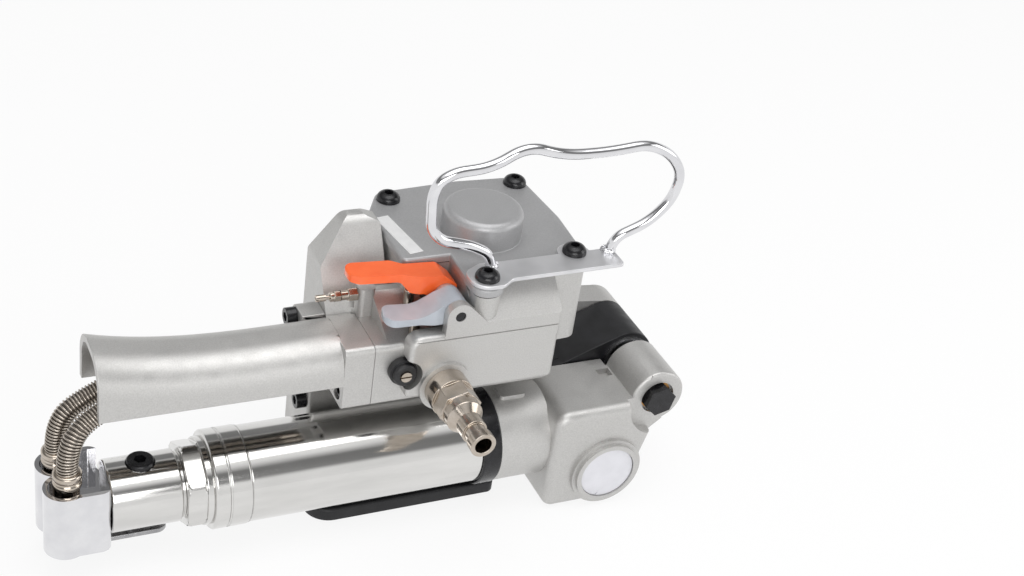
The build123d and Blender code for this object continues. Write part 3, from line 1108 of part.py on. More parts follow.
def throttle_lever():
    """Start lever under the rear tube, with its own trunnions."""
    half = THROTTLE_WIDTH / 2
    z = (THROTTLE_PIVOT_Z - THROTTLE_THICKNESS / 2, THROTTLE_PIVOT_Z + THROTTLE_THICKNESS / 2)
    x = THROTTLE_PIVOT_X
    lever = prism_z(
        ((x, MOTOR_Y - half), (x + THROTTLE_REACH, MOTOR_Y - half, 5), (x + THROTTLE_REACH, MOTOR_Y + half, 5),
         (x, MOTOR_Y + half)), z)
    lever += rod_y(x, (MOTOR_Y - half, MOTOR_Y + half), THROTTLE_PIVOT_Z, 2.6)
    trunnion = half + SIDE + CHEEK_THICKNESS
    return lever + rod_y(x, (MOTOR_Y - trunnion, MOTOR_Y + trunnion), THROTTLE_PIVOT_Z, 1.5)


def throttle_pin():
    """Valve pin pushed up by the throttle lever."""
    bottom = THROTTLE_PIVOT_Z + THROTTLE_THICKNESS / 2 + 0.2
    pin = rod_z(THROTTLE_PIN_X, MOTOR_Y, (bottom, bottom + 12), THROTTLE_PIN_RADIUS)
    return fillet(pin.edges().group_by(Axis.Z)[0], 0.6)


def motor_liner():
    """Cylinder of the vane motor, its bore set off from the rotor axis."""
    liner = rod_x(LINER_X, MOTOR_Y, MOTOR_Z, TUBE_BORE - FIT)
    return liner - rod_x(LINER_X, MOTOR_Y, MOTOR_Z + LINER_OFFSET, LINER_BORE)


def motor_end_plates():
    plates = []
    for x in ((LINER_X[0] - END_PLATE, LINER_X[0]), (LINER_X[1], LINER_X[1] + END_PLATE)):
        plate = rod_x(x, MOTOR_Y, MOTOR_Z, TUBE_BORE - FIT) - rod_x(x, MOTOR_Y, MOTOR_Z, ROTOR_SHAFT + RUN)
        plates.append(plate.solid())
    return Compound(children=plates)


def vane_boxes(depth_in, tip, thickness, x):
    """Boxes at the places of the vanes, from an inner radius to the tip."""
    boxes = []
    for index in range(VANES):
        vane = block(x, (-thickness / 2, thickness / 2), (depth_in, tip))
        boxes.append(Pos(0, MOTOR_Y, MOTOR_Z) * Rot(360 * index / VANES, 0, 0) * vane)
    return boxes


def motor_rotor():
    """Slotted rotor with its shaft and the sun pinion."""
    x = (LINER_X[0] + SIDE, LINER_X[1] - SIDE)
    rotor = rod_x(x, MOTOR_Y, MOTOR_Z, ROTOR_RADIUS)
    for slot in vane_boxes(ROTOR_RADIUS - VANE_DEPTH, ROTOR_RADIUS + 1, VANE_THICKNESS, x):
        rotor -= slot
    rotor += rod_x((LINER_X[0] - END_PLATE, GEAR_X[0] - 0.5), MOTOR_Y, MOTOR_Z, ROTOR_SHAFT)
    corners = gear_corners(SUN_TEETH, SUN_RADIUS + 0.8 * GEAR_MODULE, SUN_RADIUS - GEAR_MODULE, GEAR_BACKLASH)
    return rotor + prism_x(along_motor(corners), (GEAR_X[0] - 0.5, GEAR_X[1]))


def rotor_vanes():
    x = (LINER_X[0] + SIDE, LINER_X[1] - SIDE)
    vanes = vane_boxes(ROTOR_RADIUS - VANE_DEPTH + 0.4, ROTOR_RADIUS + VANE_PROUD, VANE_THICKNESS - 2 * FIT, x)
    return Compound(children=[vane.solid() for vane in vanes])


def ring_gear():
    """Ring gear held in the tube."""
    radius = GEAR_MODULE * RING_TEETH / 2
    corners = gear_corners(RING_TEETH, radius + GEAR_MODULE, radius - 0.5 * GEAR_MODULE, -GEAR_BACKLASH,
                           math.pi / RING_TEETH)
    return rod_x(GEAR_X, MOTOR_Y, MOTOR_Z, TUBE_BORE - FIT) - prism_x(along_motor(corners), GEAR_X)


def planet_gear(index):
    """Planet gear on its pin, a gap of its teeth facing the sun."""
    angle = 2 * math.pi * index / PLANETS
    corners = gear_corners(PLANET_TEETH, PLANET_RADIUS + 0.8 * GEAR_MODULE, PLANET_RADIUS - GEAR_MODULE,
                           GEAR_BACKLASH, angle + math.pi / PLANET_TEETH)
    y = PLANET_ORBIT * math.cos(angle)
    z = PLANET_ORBIT * math.sin(angle)
    placed = [(MOTOR_Y + y + a, MOTOR_Z + z + b) for a, b in corners]
    gear = prism_x(placed, GEAR_X)
    return gear - rod_x(GEAR_X, MOTOR_Y + y, MOTOR_Z + z, PLANET_PIN + RUN)


def worm_shaft():
    """Planet carrier with its pins, shaft and worm."""
    plate = (GEAR_X[1] + 0.5, GEAR_X[1] + 0.5 + CARRIER_THICKNESS)
    shaft = rod_x(plate, MOTOR_Y, MOTOR_Z, CARRIER_RADIUS)
    for index in range(PLANETS):
        angle = 2 * math.pi * index / PLANETS
        y = MOTOR_Y + PLANET_ORBIT * math.cos(angle)
        z = MOTOR_Z + PLANET_ORBIT * math.sin(angle)
        shaft += rod_x((GEAR_X[0], plate[0]), y, z, PLANET_PIN)
    shaft += rod_x((plate[0], WORM_BEARINGS[1][1] - 0.2), MOTOR_Y, MOTOR_Z, WORM_SHAFT_RADIUS)
    core = Pos(0, 0.5, 0) * Circle(WORM_RADIUS - 0.5)
    start = WHEEL_X - WORM_LENGTH / 2
    turns = 360 * WORM_LENGTH / WORM_LEAD
    thread = Solid.extrude_linear_with_rotation(
        core.face(), center=(0, 0, 0), normal=(0, 0, WORM_LENGTH), angle=turns)
    return shaft + Pos(start, MOTOR_Y, MOTOR_Z) * Rot(0, 90, 0) * thread


# ---- weld head ---------------------------------------------------------------------------------------------------------------------------
def weld_cylinder():
    """Steel sleeve of the press cylinder."""
    z = (SLEEVE_BOTTOM, CASTING_TOP)
    return rod_z(0, 0, z, SLEEVE_RADIUS - FIT) - rod_z(0, 0, z, SLEEVE_BORE)


def press_piston():
    """Cup-shaped piston around the weld motor."""
    z = (PISTON_BOTTOM, PISTON_BOTTOM + PISTON_HEIGHT)
    piston = chamfer(rod_z(0, 0, z, SLEEVE_BORE - RUN).edges(), 0.5)
    piston -= rod_z(0, 0, (z[0], z[1] - PISTON_CROWN), PISTON_BORE)
    return piston - rod_z(0, 0, (z[0], z[1] - 1), WELD_SHAFT_RADIUS + RUN)


def weld_rotor():
    """Turbine rotor with its shaft and the eccentric at its foot."""
    top = PISTON_BOTTOM + PISTON_HEIGHT - PISTON_CROWN - 1
    rotor = rod_z(0, 0, (top - WELD_ROTOR_LENGTH, top), WELD_ROTOR_RADIUS)
    for index in range(8):
        bucket = Pos(0, 0, top) * Rot(0, 0, 45 * index) * Pos(WELD_ROTOR_RADIUS, 0, 0) * Cylinder(1.6, 10)
        rotor -= bucket
    rotor += rod_z(0, 0, (SHAFT_FOOT, top + 3.5), WELD_SHAFT_RADIUS)
    return rotor + rod_z(ECCENTRIC, 0, (SHAFT_FOOT - 9, SHAFT_FOOT), ECCENTRIC_RADIUS)


def jaw_carrier():
    """Carrier of the upper jaw with its two posts up to the piston."""
    z = (CARRIER_BOTTOM, CARRIER_TOP)
    carrier = block((CARRIER_LEFT, CARRIER_RIGHT), (CARRIER_FRONT, CARRIER_REAR), z)
    groove_y = (CARRIER_FRONT, CARRIER_REAR)
    head_z = SHOE_NECK_TOP
    carrier -= block(half_widths(TONGUE_WIDTH / 2 + 0.15), groove_y, (z[0], head_z))
    carrier -= block(half_widths(TONGUE_HEAD / 2 + 0.15), groove_y, (head_z - 0.15, head_z + TONGUE_HEAD_HEIGHT + 0.15))
    carrier -= rod_z(0, 0, z, WELD_SHAFT_RADIUS + 3 * RUN)
    for side in (-1, 1):
        carrier += rod_z(side * POST_X, POST_Y, (CARRIER_TOP - 1, PISTON_BOTTOM), POST_RADIUS)
    return carrier


def half_widths(half):
    return (-half, half)


def weld_shoe():
    """Upper weld jaw, sliding in the carrier."""
    bottom = COLUMN_BOTTOM - 4
    shoe = block(half_widths(SHOE_LENGTH / 2), (-WHEEL_HALF, WHEEL_HALF), (bottom, bottom + SHOE_HEIGHT))
    count = int(SHOE_LENGTH / INSERT_TOOTH)
    for step in range(1, count):
        groove = -SHOE_LENGTH / 2 + step * INSERT_TOOTH
        shoe -= prism_y(((groove - INSERT_CUT, bottom), (groove + INSERT_CUT, bottom), (groove, bottom + INSERT_CUT)),
                        (-WHEEL_HALF, WHEEL_HALF))
    tongue_y = (CARRIER_FRONT + 0.5, WHEEL_HALF)
    shoe += block(half_widths(TONGUE_WIDTH / 2), tongue_y, (bottom + SHOE_HEIGHT, SHOE_NECK_TOP))
    shoe += block(half_widths(TONGUE_HEAD / 2), tongue_y, (SHOE_NECK_TOP, SHOE_NECK_TOP + TONGUE_HEAD_HEIGHT))
    hole = ECCENTRIC_RADIUS + 2 * ECCENTRIC + 0.1
    return shoe - rod_z(0, 0, (SHAFT_FOOT - 10, CARRIER_TOP), hole)


def cutter_blade():
    """Strap cutter on the end of the carrier."""
    x = (CARRIER_RIGHT, CARRIER_RIGHT + CUTTER_THICKNESS)
    return prism_x(
        ((-WHEEL_HALF, COLUMN_BOTTOM - 3.4), (WHEEL_HALF, COLUMN_BOTTOM - 2.6), (WHEEL_HALF + 3, CARRIER_BOTTOM),
         (WHEEL_HALF + 3, CARRIER_TOP - 1), (CARRIER_FRONT + 1, CARRIER_TOP - 1), (CARRIER_FRONT + 1, CARRIER_BOTTOM - 2),
         (-WHEEL_HALF, CARRIER_BOTTOM - 3)), x)


PIECES = {
    "base_frame": base_frame,
    "lower_gripper": lambda: drilled_insert(WHEEL_X, GRIPPER_LENGTH, GRIPPER_TOP),
    "lower_weld_jaw": lambda: drilled_insert(0, SHOE_LENGTH, JAW_TOP),
    "plate_screws": plate_screws,
    "main_casting": main_casting,
    "top_cover": top_cover,
    "cover_gasket": cover_gasket,
    "cover_screws": cover_screws,
    "hanger_bracket": hanger_bracket,
    "hanger_bail": hanger_bail,
    "handle": handle,
    "hose_fittings": hose_fittings,
    "air_hose_front": lambda: air_hose(0),
    "air_hose_rear": lambda: air_hose(1),
    "cap_screws": cap_screws,
    "air_plug": air_plug,
    "timer_plug": timer_plug,
    "timer_screw": timer_screw,
    "adjuster_body": adjuster_body,
    "adjuster_needle": adjuster_needle,
    "lever_pin": lever_pin,
    "tension_lever": tension_lever,
    "weld_lever": weld_lever,
    "tension_plunger": lambda: plunger(TENSION_PLUNGER, LEVER_PIN_Z - 6.6),
    "weld_plunger": lambda: plunger(WELD_PLUNGER, LEVER_PIN_Z + 1.2),
    "hinge_pin": hinge_pin,
    "hinge_washers": hinge_washers,
    "return_spring": return_spring,
    "gear_housing": gear_housing,
    "wheel_cover_disc": wheel_cover_disc,
    "wheel_bearings": wheel_bearings,
    "worm_bearings": worm_bearings,
    "pivot_bush": pivot_bush,
    "wheel_shaft": wheel_shaft,
    "tension_wheel": tension_wheel,
    "worm_gear": worm_gear,
    "motor_ring": motor_ring,
    "motor_tube": motor_tube,
    "coupling_nut": coupling_nut,
    "rear_tube": rear_tube,
    "socket_plug": socket_plug,
    "rear_cap": rear_cap,
    "hose_ferrules": hose_ferrules,
    "throttle_lever": throttle_lever,
    "throttle_pin": throttle_pin,
    "motor_liner": motor_liner,
    "motor_end_plates": motor_end_plates,
    "motor_rotor": motor_rotor,
    "rotor_vanes": rotor_vanes,
    "ring_gear": ring_gear,
    "planet_gear_1": lambda: planet_gear(0),
    "planet_gear_2": lambda: planet_gear(1),
    "planet_gear_3": lambda: planet_gear(2),
    "worm_shaft": worm_shaft,
    "weld_cylinder": weld_cylinder,
    "press_piston": press_piston,
    "weld_rotor": weld_rotor,
    "jaw_carrier": jaw_carrier,
    "weld_shoe": weld_shoe,
    "cutter_blade": cutter_blade,
}

os.makedirs("parts", exist_ok=True)
for name, make in PIECES.items():
    export_step(make(), f"parts/{name}.step")
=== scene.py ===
"""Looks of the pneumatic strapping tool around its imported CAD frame.  Metres, Z up, same frame."""
import json
import math
import bpy
import bmesh
from mathutils import Matrix, Vector


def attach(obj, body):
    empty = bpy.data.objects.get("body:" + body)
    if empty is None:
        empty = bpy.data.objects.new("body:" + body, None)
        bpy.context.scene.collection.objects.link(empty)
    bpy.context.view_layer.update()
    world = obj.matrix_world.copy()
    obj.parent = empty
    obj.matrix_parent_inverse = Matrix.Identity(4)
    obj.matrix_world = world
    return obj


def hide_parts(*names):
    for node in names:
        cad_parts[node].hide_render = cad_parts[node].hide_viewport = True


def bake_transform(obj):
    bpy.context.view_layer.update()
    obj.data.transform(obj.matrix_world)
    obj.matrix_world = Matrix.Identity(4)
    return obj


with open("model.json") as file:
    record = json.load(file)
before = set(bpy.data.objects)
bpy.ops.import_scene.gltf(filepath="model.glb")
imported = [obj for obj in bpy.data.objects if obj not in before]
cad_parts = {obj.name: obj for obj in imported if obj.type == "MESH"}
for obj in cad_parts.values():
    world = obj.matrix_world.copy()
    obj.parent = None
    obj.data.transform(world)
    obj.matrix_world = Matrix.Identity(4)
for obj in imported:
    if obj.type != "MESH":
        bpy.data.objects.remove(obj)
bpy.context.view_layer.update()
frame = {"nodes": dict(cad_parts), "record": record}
NODES = frame["nodes"]
SLOTS = {entry["node"]: entry["material_slot"] for entry in frame["record"]["subparts"]}
BODY = {node: body for body, nodes in frame["record"]["behaviour"]["bodies"].items() for node in nodes}
MM = 0.001

# ---- camera: the photograph's angle ----------------------------------------------------------------
FOCAL_LENGTH = 59.8                # millimetres, as is the sensor's width
SENSOR_WIDTH = 36
AZIMUTH = math.radians(29.0)       # to the left of the tool's front
ELEVATION = math.radians(32.4)
ROLL = math.radians(9.0)
CAMERA_PLACE = Vector((-315.4, -607.3, 536.0)) * MM
CLIP_START = 10 * MM

# ---- rounded edges, in millimetres -----------------------------------------------------------------
EDGES = {
    "main_casting": 0.4, "top_cover": 0.5, "gear_housing": 0.4, "handle": 0.4, "base_frame": 0.4,
    "tension_lever": 0.5, "weld_lever": 0.5, "hanger_bracket": 0.6, "throttle_lever": 0.4, "air_plug": 0.3,
    "coupling_nut": 0.5, "hose_ferrules": 0.3, "hose_fittings": 0.3, "wheel_cover_disc": 0.5,
    "motor_ring": 0.4, "timer_plug": 0.3, "adjuster_body": 0.3, "cap_screws": 0.25, "rear_tube": 0.4,
    "motor_tube": 0.4,
}
# nodes that are rounded less where their edges crowd
CLAMPED = ("gear_housing", "main_casting", "tension_lever", "weld_lever")
EDGE_SEGMENTS = 2
EDGE_ANGLE = math.radians(28)      # edges flatter than this stay as they are
FLAT_ANGLE = math.radians(0.6)     # neighbour faces within this angle become one
SAME_POINT = 0.001                 # points nearer than this become one
# attributes that hold the CAD mesh's own shading
CAD_SHADING = ("custom_normal", "sharp_edge", "sharp_face")
# a node that looks unlike the rest of its material slot
OWN_FINISH = {"hanger_bracket": "bright_plate"}

# ---- hoses, in millimetres -------------------------------------------------------------------------
HOSE_RADIUS = 4.8
HOSE_CORE = 3.95
CORE_STEP = 1.0
CORE_SIDES = 20
WIRE_RADIUS = 0.5
WIRE_PITCH = 1.45
WIRE_SIDES = 7
WIRE_STEPS = 16                    # points in one turn of the wire
HOSE_ROUTES = {
    "air_hose_front": ((-199.5, -37, 57), (-199.5, -37, 73), (-184.5, -30.8, 82.5), (-159.5, -30.8, 91.5),
                       (-93, -30.8, 91.5)),
    "air_hose_rear": ((-201, -20.6, 57), (-201, -20.6, 73), (-186, -18.4, 82.5), (-161, -18.4, 91.5),
                      (-93, -18.4, 91.5)),
}
ROUTE_ORDER = 3
ROUTE_STEPS = 240                  # shared out among a route's control points
COLLAR_SIDES = 40
# (height, radius) along the two pressed rings that hold a hose on its ferrule
COLLAR = (
    (50, 5.3), (50.3, 6.1), (50.7, 6.3), (52, 6.3), (52.4, 6.1), (52.7, 5.6),
    (54.1, 5.6), (54.4, 6.1), (54.8, 6.3), (56.4, 6.3), (56.9, 6.1), (57.4, 5.0),
)

# ---- pale plate on the cover, in millimetres -------------------------------------------------------
LABEL_REAR = (-41.5, 22.0)
LABEL_FRONT = (-36.5, -11.0)
LABEL_WIDTH = 7.0
COVER_TOP = 130.0
# (height, distance in from the rim) of the plate's side, its broken edge and the groove round it
LABEL_STEPS = ((0.0, 0.0), (0.12, 0.0), (0.2, 0.12), (0.2, 0.7), (0.12, 0.8), (0.12, 1.0), (0.2, 1.1))

# ---- weld beads at the feet of the wire loop, in millimetres ---------------------------------------
BRACKET_TOP = 132.0
# centre, radius, height and an angle in radians that shifts the lumps
WELDS = {
    "weld_left": ((-8.2, -31.3, BRACKET_TOP), 2.4, 1.5, 0.7),
    "weld_right": ((51.1, -31.3, BRACKET_TOP), 2.5, 2.2, 2.1),
}
WELD_STEPS = 60
WELD_SIDES = 8
WELD_SPREAD = 0.55                 # half width of a bead as a share of its height
WELD_SINK = 0.05                   # depth into the bracket as a share of its height
# lumps round a bead, and how much they add to its size
BIG_LUMPS = 5
BIG_LUMP_SHARE = 0.16
SMALL_LUMPS = 11
SMALL_LUMP_SHARE = 0.1

# ---- studio, in metres -----------------------------------------------------------------------------
# level of the world's light by the sine of its elevation:
# 0 is the horizon and all below it, 1 is straight up
SKY_LEVELS = ((0.0, 0.95), (0.3, 0.9), (0.42, 0.25), (0.7, 0.22), (0.84, 0.95), (1.0, 1.0))
FLOOR_SIZE = 40.0
FLOOR_HEIGHT = -0.2 * MM
FLOOR_GREY = 0.86
FLOOR_ROUGHNESS = 0.9
FLOOR_WHITE = 0.85                 # share of plain white in what the camera, metal and glass see
LAMP_AIM = (0, 0, 0.06)
# place, size and power in watts
LAMPS = {
    "top": ((0.05, -0.1, 1.2), (1.0, 0.8), 5),
    "key": ((-0.35, -1.1, 0.6), (0.9, 0.5), 5.5),
    "fill": ((1.2, -0.5, 0.6), (0.6, 0.8), 3.5),
}


def camera():
    """Camera at the front left, above the tool and rolled, as the photograph was taken."""
    forward = Vector((math.cos(ELEVATION) * math.sin(AZIMUTH), math.cos(ELEVATION) * math.cos(AZIMUTH),
                      -math.sin(ELEVATION)))
    level = Vector((math.cos(AZIMUTH), -math.sin(AZIMUTH), 0))
    upright = level.cross(forward)
    right = math.cos(ROLL) * level + math.sin(ROLL) * upright
    up = right.cross(forward)
    data = bpy.data.cameras.new("camera")
    data.lens = FOCAL_LENGTH
    data.sensor_width = SENSOR_WIDTH
    data.clip_start = CLIP_START
    eye = bpy.data.objects.new("camera", data)
    bpy.context.collection.objects.link(eye)
    turn = Matrix((right, up, -forward)).transposed()
    eye.matrix_world = Matrix.Translation(CAMERA_PLACE) @ turn.to_4x4()
    bpy.context.scene.camera = eye


# ---- how a finish is made --------------------------------------------------------------------------
NOISE_MIDDLE = (0.3, 0.7)          # most of a noise texture's values lie between these


def srgb(*levels):
    """Linear colour from levels between 0 and 255."""
    linear = []
    for level in levels:
        value = level / 255
        linear.append(value / 12.92 if value <= 0.04045 else ((value + 0.055) / 1.055) ** 2.4)
    return (*linear, 1.0)


class Finish:
    """A surface with a coat of fine detail: colour, roughness and relief from noise in object space."""

    def __init__(self, name, colour, metallic, roughness):
        self.material = bpy.data.materials.new(name)
        self.material.use_nodes = True
        self.nodes = self.material.node_tree.nodes
        self.links = self.material.node_tree.links
        self.shader = self.nodes["Principled BSDF"]
        self.shader.inputs["Base Color"].default_value = colour
        self.shader.inputs["Metallic"].default_value = metallic
        self.shader.inputs["Roughness"].default_value = roughness
        self.place = self.nodes.new("ShaderNodeTexCoord").outputs["Object"]

    def stretched(self, scale):
        """Object space with scaled axes; a factor under 1 draws features out along its axis."""
        mapping = self.nodes.new("ShaderNodeMapping")
        mapping.inputs["Scale"].default_value = scale
        self.links.new(self.place, mapping.inputs["Vector"])
        return mapping.outputs["Vector"]

    def noise(self, size, detail, stretch):
        """Noise whose features are about size metres wide."""
        texture = self.nodes.new("ShaderNodeTexNoise")
        texture.inputs["Scale"].default_value = 1 / size
        texture.inputs["Detail"].default_value = detail
        self.links.new(self.stretched(stretch) if stretch else self.place, texture.inputs["Vector"])
        return texture.outputs["Fac"]

    def ramp(self, source, low, high):
        """Source turned into a value between two limits."""
        node = self.nodes.new("ShaderNodeMapRange")
        node.inputs["From Min"].default_value = NOISE_MIDDLE[0]
        node.inputs["From Max"].default_value = NOISE_MIDDLE[1]
        node.inputs["To Min"].default_value = low
        node.inputs["To Max"].default_value = high
        self.links.new(source, node.inputs["Value"])
        return node.outputs["Result"]

    def mottle(self, first, second, size, detail=3.0, stretch=None):
        """Colour that wanders between two close tones."""
        mix = self.nodes.new("ShaderNodeMix")
        mix.data_type = "RGBA"
        mix.inputs["A"].default_value = first
        mix.inputs["B"].default_value = second
        self.links.new(self.ramp(self.noise(size, detail, stretch), 0.0, 1.0), mix.inputs["Factor"])
        self.links.new(mix.outputs["Result"], self.shader.inputs["Base Color"])

    def uneven_gloss(self, low, high, size, detail=3.0, stretch=None):
        """Roughness that wanders between two values."""
        value = self.ramp(self.noise(size, detail, stretch), low, high)
        self.links.new(value, self.shader.inputs["Roughness"])

    def relief(self, size, depth, strength, detail=2.0, stretch=None):
        """Fine bumps."""
        bump = self.nodes.new("ShaderNodeBump")
        bump.inputs["Strength"].default_value = strength
        bump.inputs["Distance"].default_value = depth
        self.links.new(self.noise(size, detail, stretch), bump.inputs["Height"])
        self.links.new(bump.outputs["Normal"], self.shader.inputs["Normal"])

    def coat(self, weight, roughness=0.1):
        """Clear layer on top."""
        self.shader.inputs["Coat Weight"].default_value = weight
        self.shader.inputs["Coat Roughness"].default_value = roughness


# ---- cast and painted metal ------------------------------------------------------------------------
def cast_aluminium():
    finish = Finish("cast_aluminium", srgb(194, 193, 191), metallic=0.8, roughness=0.45)
    finish.mottle(srgb(187, 186, 184), srgb(201, 200, 198), size=0.6 * MM)
    finish.uneven_gloss(low=0.4, high=0.5, size=7 * MM)
    finish.relief(size=0.4 * MM, depth=0.05 * MM, strength=0.5)
    return finish


def cover_paint():
    finish = Finish("cover_paint", srgb(172, 172, 173), metallic=0.6, roughness=0.46)
    finish.mottle(srgb(167, 167, 168), srgb(178, 178, 179), size=0.6 * MM)
    finish.uneven_gloss(low=0.42, high=0.52, size=6 * MM)
    finish.relief(size=0.4 * MM, depth=0.04 * MM, strength=0.4)
    return finish


def black_steel():
    finish = Finish("black_steel", srgb(24, 24, 26), metallic=0.2, roughness=0.5)
    finish.mottle(srgb(20, 20, 22), srgb(31, 31, 34), size=9 * MM)
    finish.uneven_gloss(low=0.38, high=0.55, size=6 * MM)
    finish.relief(size=0.6 * MM, depth=0.05 * MM, strength=0.4)
    return finish


def black_oxide():
    finish = Finish("black_oxide", srgb(22, 22, 24), metallic=0.2, roughness=0.22)
    finish.mottle(srgb(18, 18, 20), srgb(34, 34, 37), size=3 * MM)
    finish.uneven_gloss(low=0.16, high=0.3, size=2 * MM)
    return finish


def orange_enamel():
    finish = Finish("orange_enamel", srgb(248, 104, 46), metallic=0.0, roughness=0.28)
    finish.mottle(srgb(246, 100, 42), srgb(250, 110, 52), size=6 * MM)
    finish.relief(size=3 * MM, depth=0.04 * MM, strength=0.2)
    finish.coat(weight=0.4)
    return finish


def grey_enamel():
    finish = Finish("grey_enamel", srgb(176, 182, 190), metallic=0.1, roughness=0.32)
    finish.mottle(srgb(172, 178, 186), srgb(181, 187, 195), size=6 * MM)
    finish.relief(size=3 * MM, depth=0.04 * MM, strength=0.2)
    finish.coat(weight=0.3)
    return finish


# ---- bare and plated metal -------------------------------------------------------------------------
def polished_steel():
    """Colour and gloss drawn out along the tubes, with fine turning marks round them."""
    finish = Finish("polished_steel", srgb(215, 214, 212), metallic=1.0, roughness=0.12)
    finish.mottle(srgb(208, 207, 205), srgb(220, 219, 217), size=8 * MM, stretch=(0.2, 1, 1))
    finish.uneven_gloss(low=0.08, high=0.16, size=3 * MM, stretch=(0.05, 1, 1))
    finish.relief(size=0.3 * MM, depth=0.006 * MM, strength=0.4, stretch=(3, 0.3, 0.3))
    return finish


def chrome():
    finish = Finish("chrome", srgb(222, 222, 224), metallic=1.0, roughness=0.06)
    finish.mottle(srgb(216, 216, 219), srgb(227, 227, 229), size=10 * MM)
    finish.uneven_gloss(low=0.04, high=0.1, size=6 * MM)
    finish.relief(size=4 * MM, depth=0.05 * MM, strength=0.2)
    return finish


def bright_plate():
    finish = Finish("bright_plate", srgb(214, 214, 216), metallic=0.7, roughness=0.34)
    finish.mottle(srgb(206, 206, 208), srgb(222, 222, 224), size=12 * MM, detail=1.0)
    return finish


def turned_steel():
    finish = Finish("turned_steel", srgb(165, 165, 166), metallic=1.0, roughness=0.3)
    finish.mottle(srgb(155, 155, 157), srgb(176, 176, 177), size=4 * MM)
    finish.uneven_gloss(low=0.24, high=0.38, size=2 * MM)
    return finish


def tool_steel():
    finish = Finish("tool_steel", srgb(120, 120, 123), metallic=1.0, roughness=0.38)
    finish.mottle(srgb(105, 105, 108), srgb(135, 135, 138), size=3 * MM)
    finish.uneven_gloss(low=0.3, high=0.46, size=2 * MM)
    return finish


def nickel():
    finish = Finish("nickel", srgb(186, 176, 164), metallic=1.0, roughness=0.2)
    finish.mottle(srgb(178, 167, 154), srgb(196, 187, 177), size=5 * MM)
    finish.uneven_gloss(low=0.14, high=0.26, size=3 * MM)
    return finish


def bronze():
    finish = Finish("bronze", srgb(190, 142, 84), metallic=1.0, roughness=0.32)
    finish.mottle(srgb(180, 132, 76), srgb(200, 152, 95), size=4 * MM)
    return finish


def iron():
    finish = Finish("iron", srgb(95, 95, 97), metallic=1.0, roughness=0.5)
    finish.mottle(srgb(85, 85, 88), srgb(105, 105, 107), size=3 * MM)
    return finish


def hose_core():
    finish = Finish("hose_core", srgb(92, 86, 80), metallic=0.8, roughness=0.5)
    finish.mottle(srgb(80, 75, 70), srgb(108, 101, 94), size=0.8 * MM)
    finish.relief(size=0.5 * MM, depth=0.1 * MM, strength=0.7)
    return finish


def hose_wire():
    finish = Finish("hose_wire", srgb(176, 168, 158), metallic=1.0, roughness=0.25)
    finish.mottle(srgb(165, 156, 146), srgb(190, 182, 172), size=2 * MM)
    return finish


# ---- plastic and rubber ----------------------------------------------------------------------------
def white_plastic():
    finish = Finish("white_plastic", srgb(212, 212, 217), metallic=0.0, roughness=0.35)
    finish.mottle(srgb(208, 208, 213), srgb(216, 216, 221), size=8 * MM)
    finish.relief(size=0.6 * MM, depth=0.02 * MM, strength=0.3)
    return finish


def black_plastic():
    finish = Finish("black_plastic", srgb(26, 26, 28), metallic=0.0, roughness=0.4)
    finish.mottle(srgb(22, 22, 24), srgb(32, 32, 34), size=2 * MM)
    finish.relief(size=0.4 * MM, depth=0.03 * MM, strength=0.4)
    return finish


def rubber():
    finish = Finish("rubber", srgb(24, 24, 25), metallic=0.0, roughness=0.7)
    finish.mottle(srgb(20, 20, 21), srgb(32, 32, 33), size=2 * MM)
    return finish


def phenolic():
    finish = Finish("phenolic", srgb(110, 72, 40), metallic=0.0, roughness=0.6)
    finish.mottle(srgb(100, 64, 34), srgb(120, 80, 46), size=1 * MM)
    return finish


def label():
    finish = Finish("label", srgb(218, 218, 218), metallic=0.0, roughness=0.4)
    finish.mottle(srgb(214, 214, 214), srgb(222, 222, 222), size=5 * MM)
    return finish


# ---- pieces built over the frame -------------------------------------------------------------------
def paint(obj, finish):
    obj.data.materials.clear()
    obj.data.materials.append(finish.material)


def link(name, mesh, finish):
    """New piece in the scene from a mesh and a finish."""
    piece = bpy.data.objects.new(name, mesh)
    bpy.context.collection.objects.link(piece)
    paint(piece, finish)
    return piece


def finish_of(node):
    """The finish of a node's material slot, or its own."""
    return FINISHES[OWN_FINISH.get(node, SLOTS[node])]


def set_on(piece, node):
    """Piece moves with the body that carries the CAD node."""
    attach(piece, BODY[node])


def finished_mesh(name, form):
    """Mesh from a bmesh, which is freed."""
    mesh = bpy.data.meshes.new(name)
    form.to_mesh(mesh)
    form.free()
    return mesh


def soften(node, width, clamp):
    """Copy of a CAD node with its edges rounded by width millimetres; it replaces the node."""
    name = node + "_edged"
    form = bmesh.new()
    form.from_mesh(NODES[node].data)
    bmesh.ops.remove_doubles(form, verts=form.verts, dist=SAME_POINT * MM)
    bmesh.ops.dissolve_limit(form, angle_limit=FLAT_ANGLE, verts=form.verts, edges=form.edges)
    mesh = finished_mesh(name, form)
    for attribute in CAD_SHADING:
        if attribute in mesh.attributes:
            mesh.attributes.remove(mesh.attributes[attribute])
    mesh.shade_smooth()
    piece = link(name, mesh, finish_of(node))
    bevel = piece.modifiers.new("edges", "BEVEL")
    bevel.width = width * MM
    bevel.segments = EDGE_SEGMENTS
    bevel.limit_method = "ANGLE"
    bevel.angle_limit = EDGE_ANGLE
    bevel.use_clamp_overlap = clamp
    bevel.harden_normals = True
    set_on(piece, node)
    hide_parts(node)


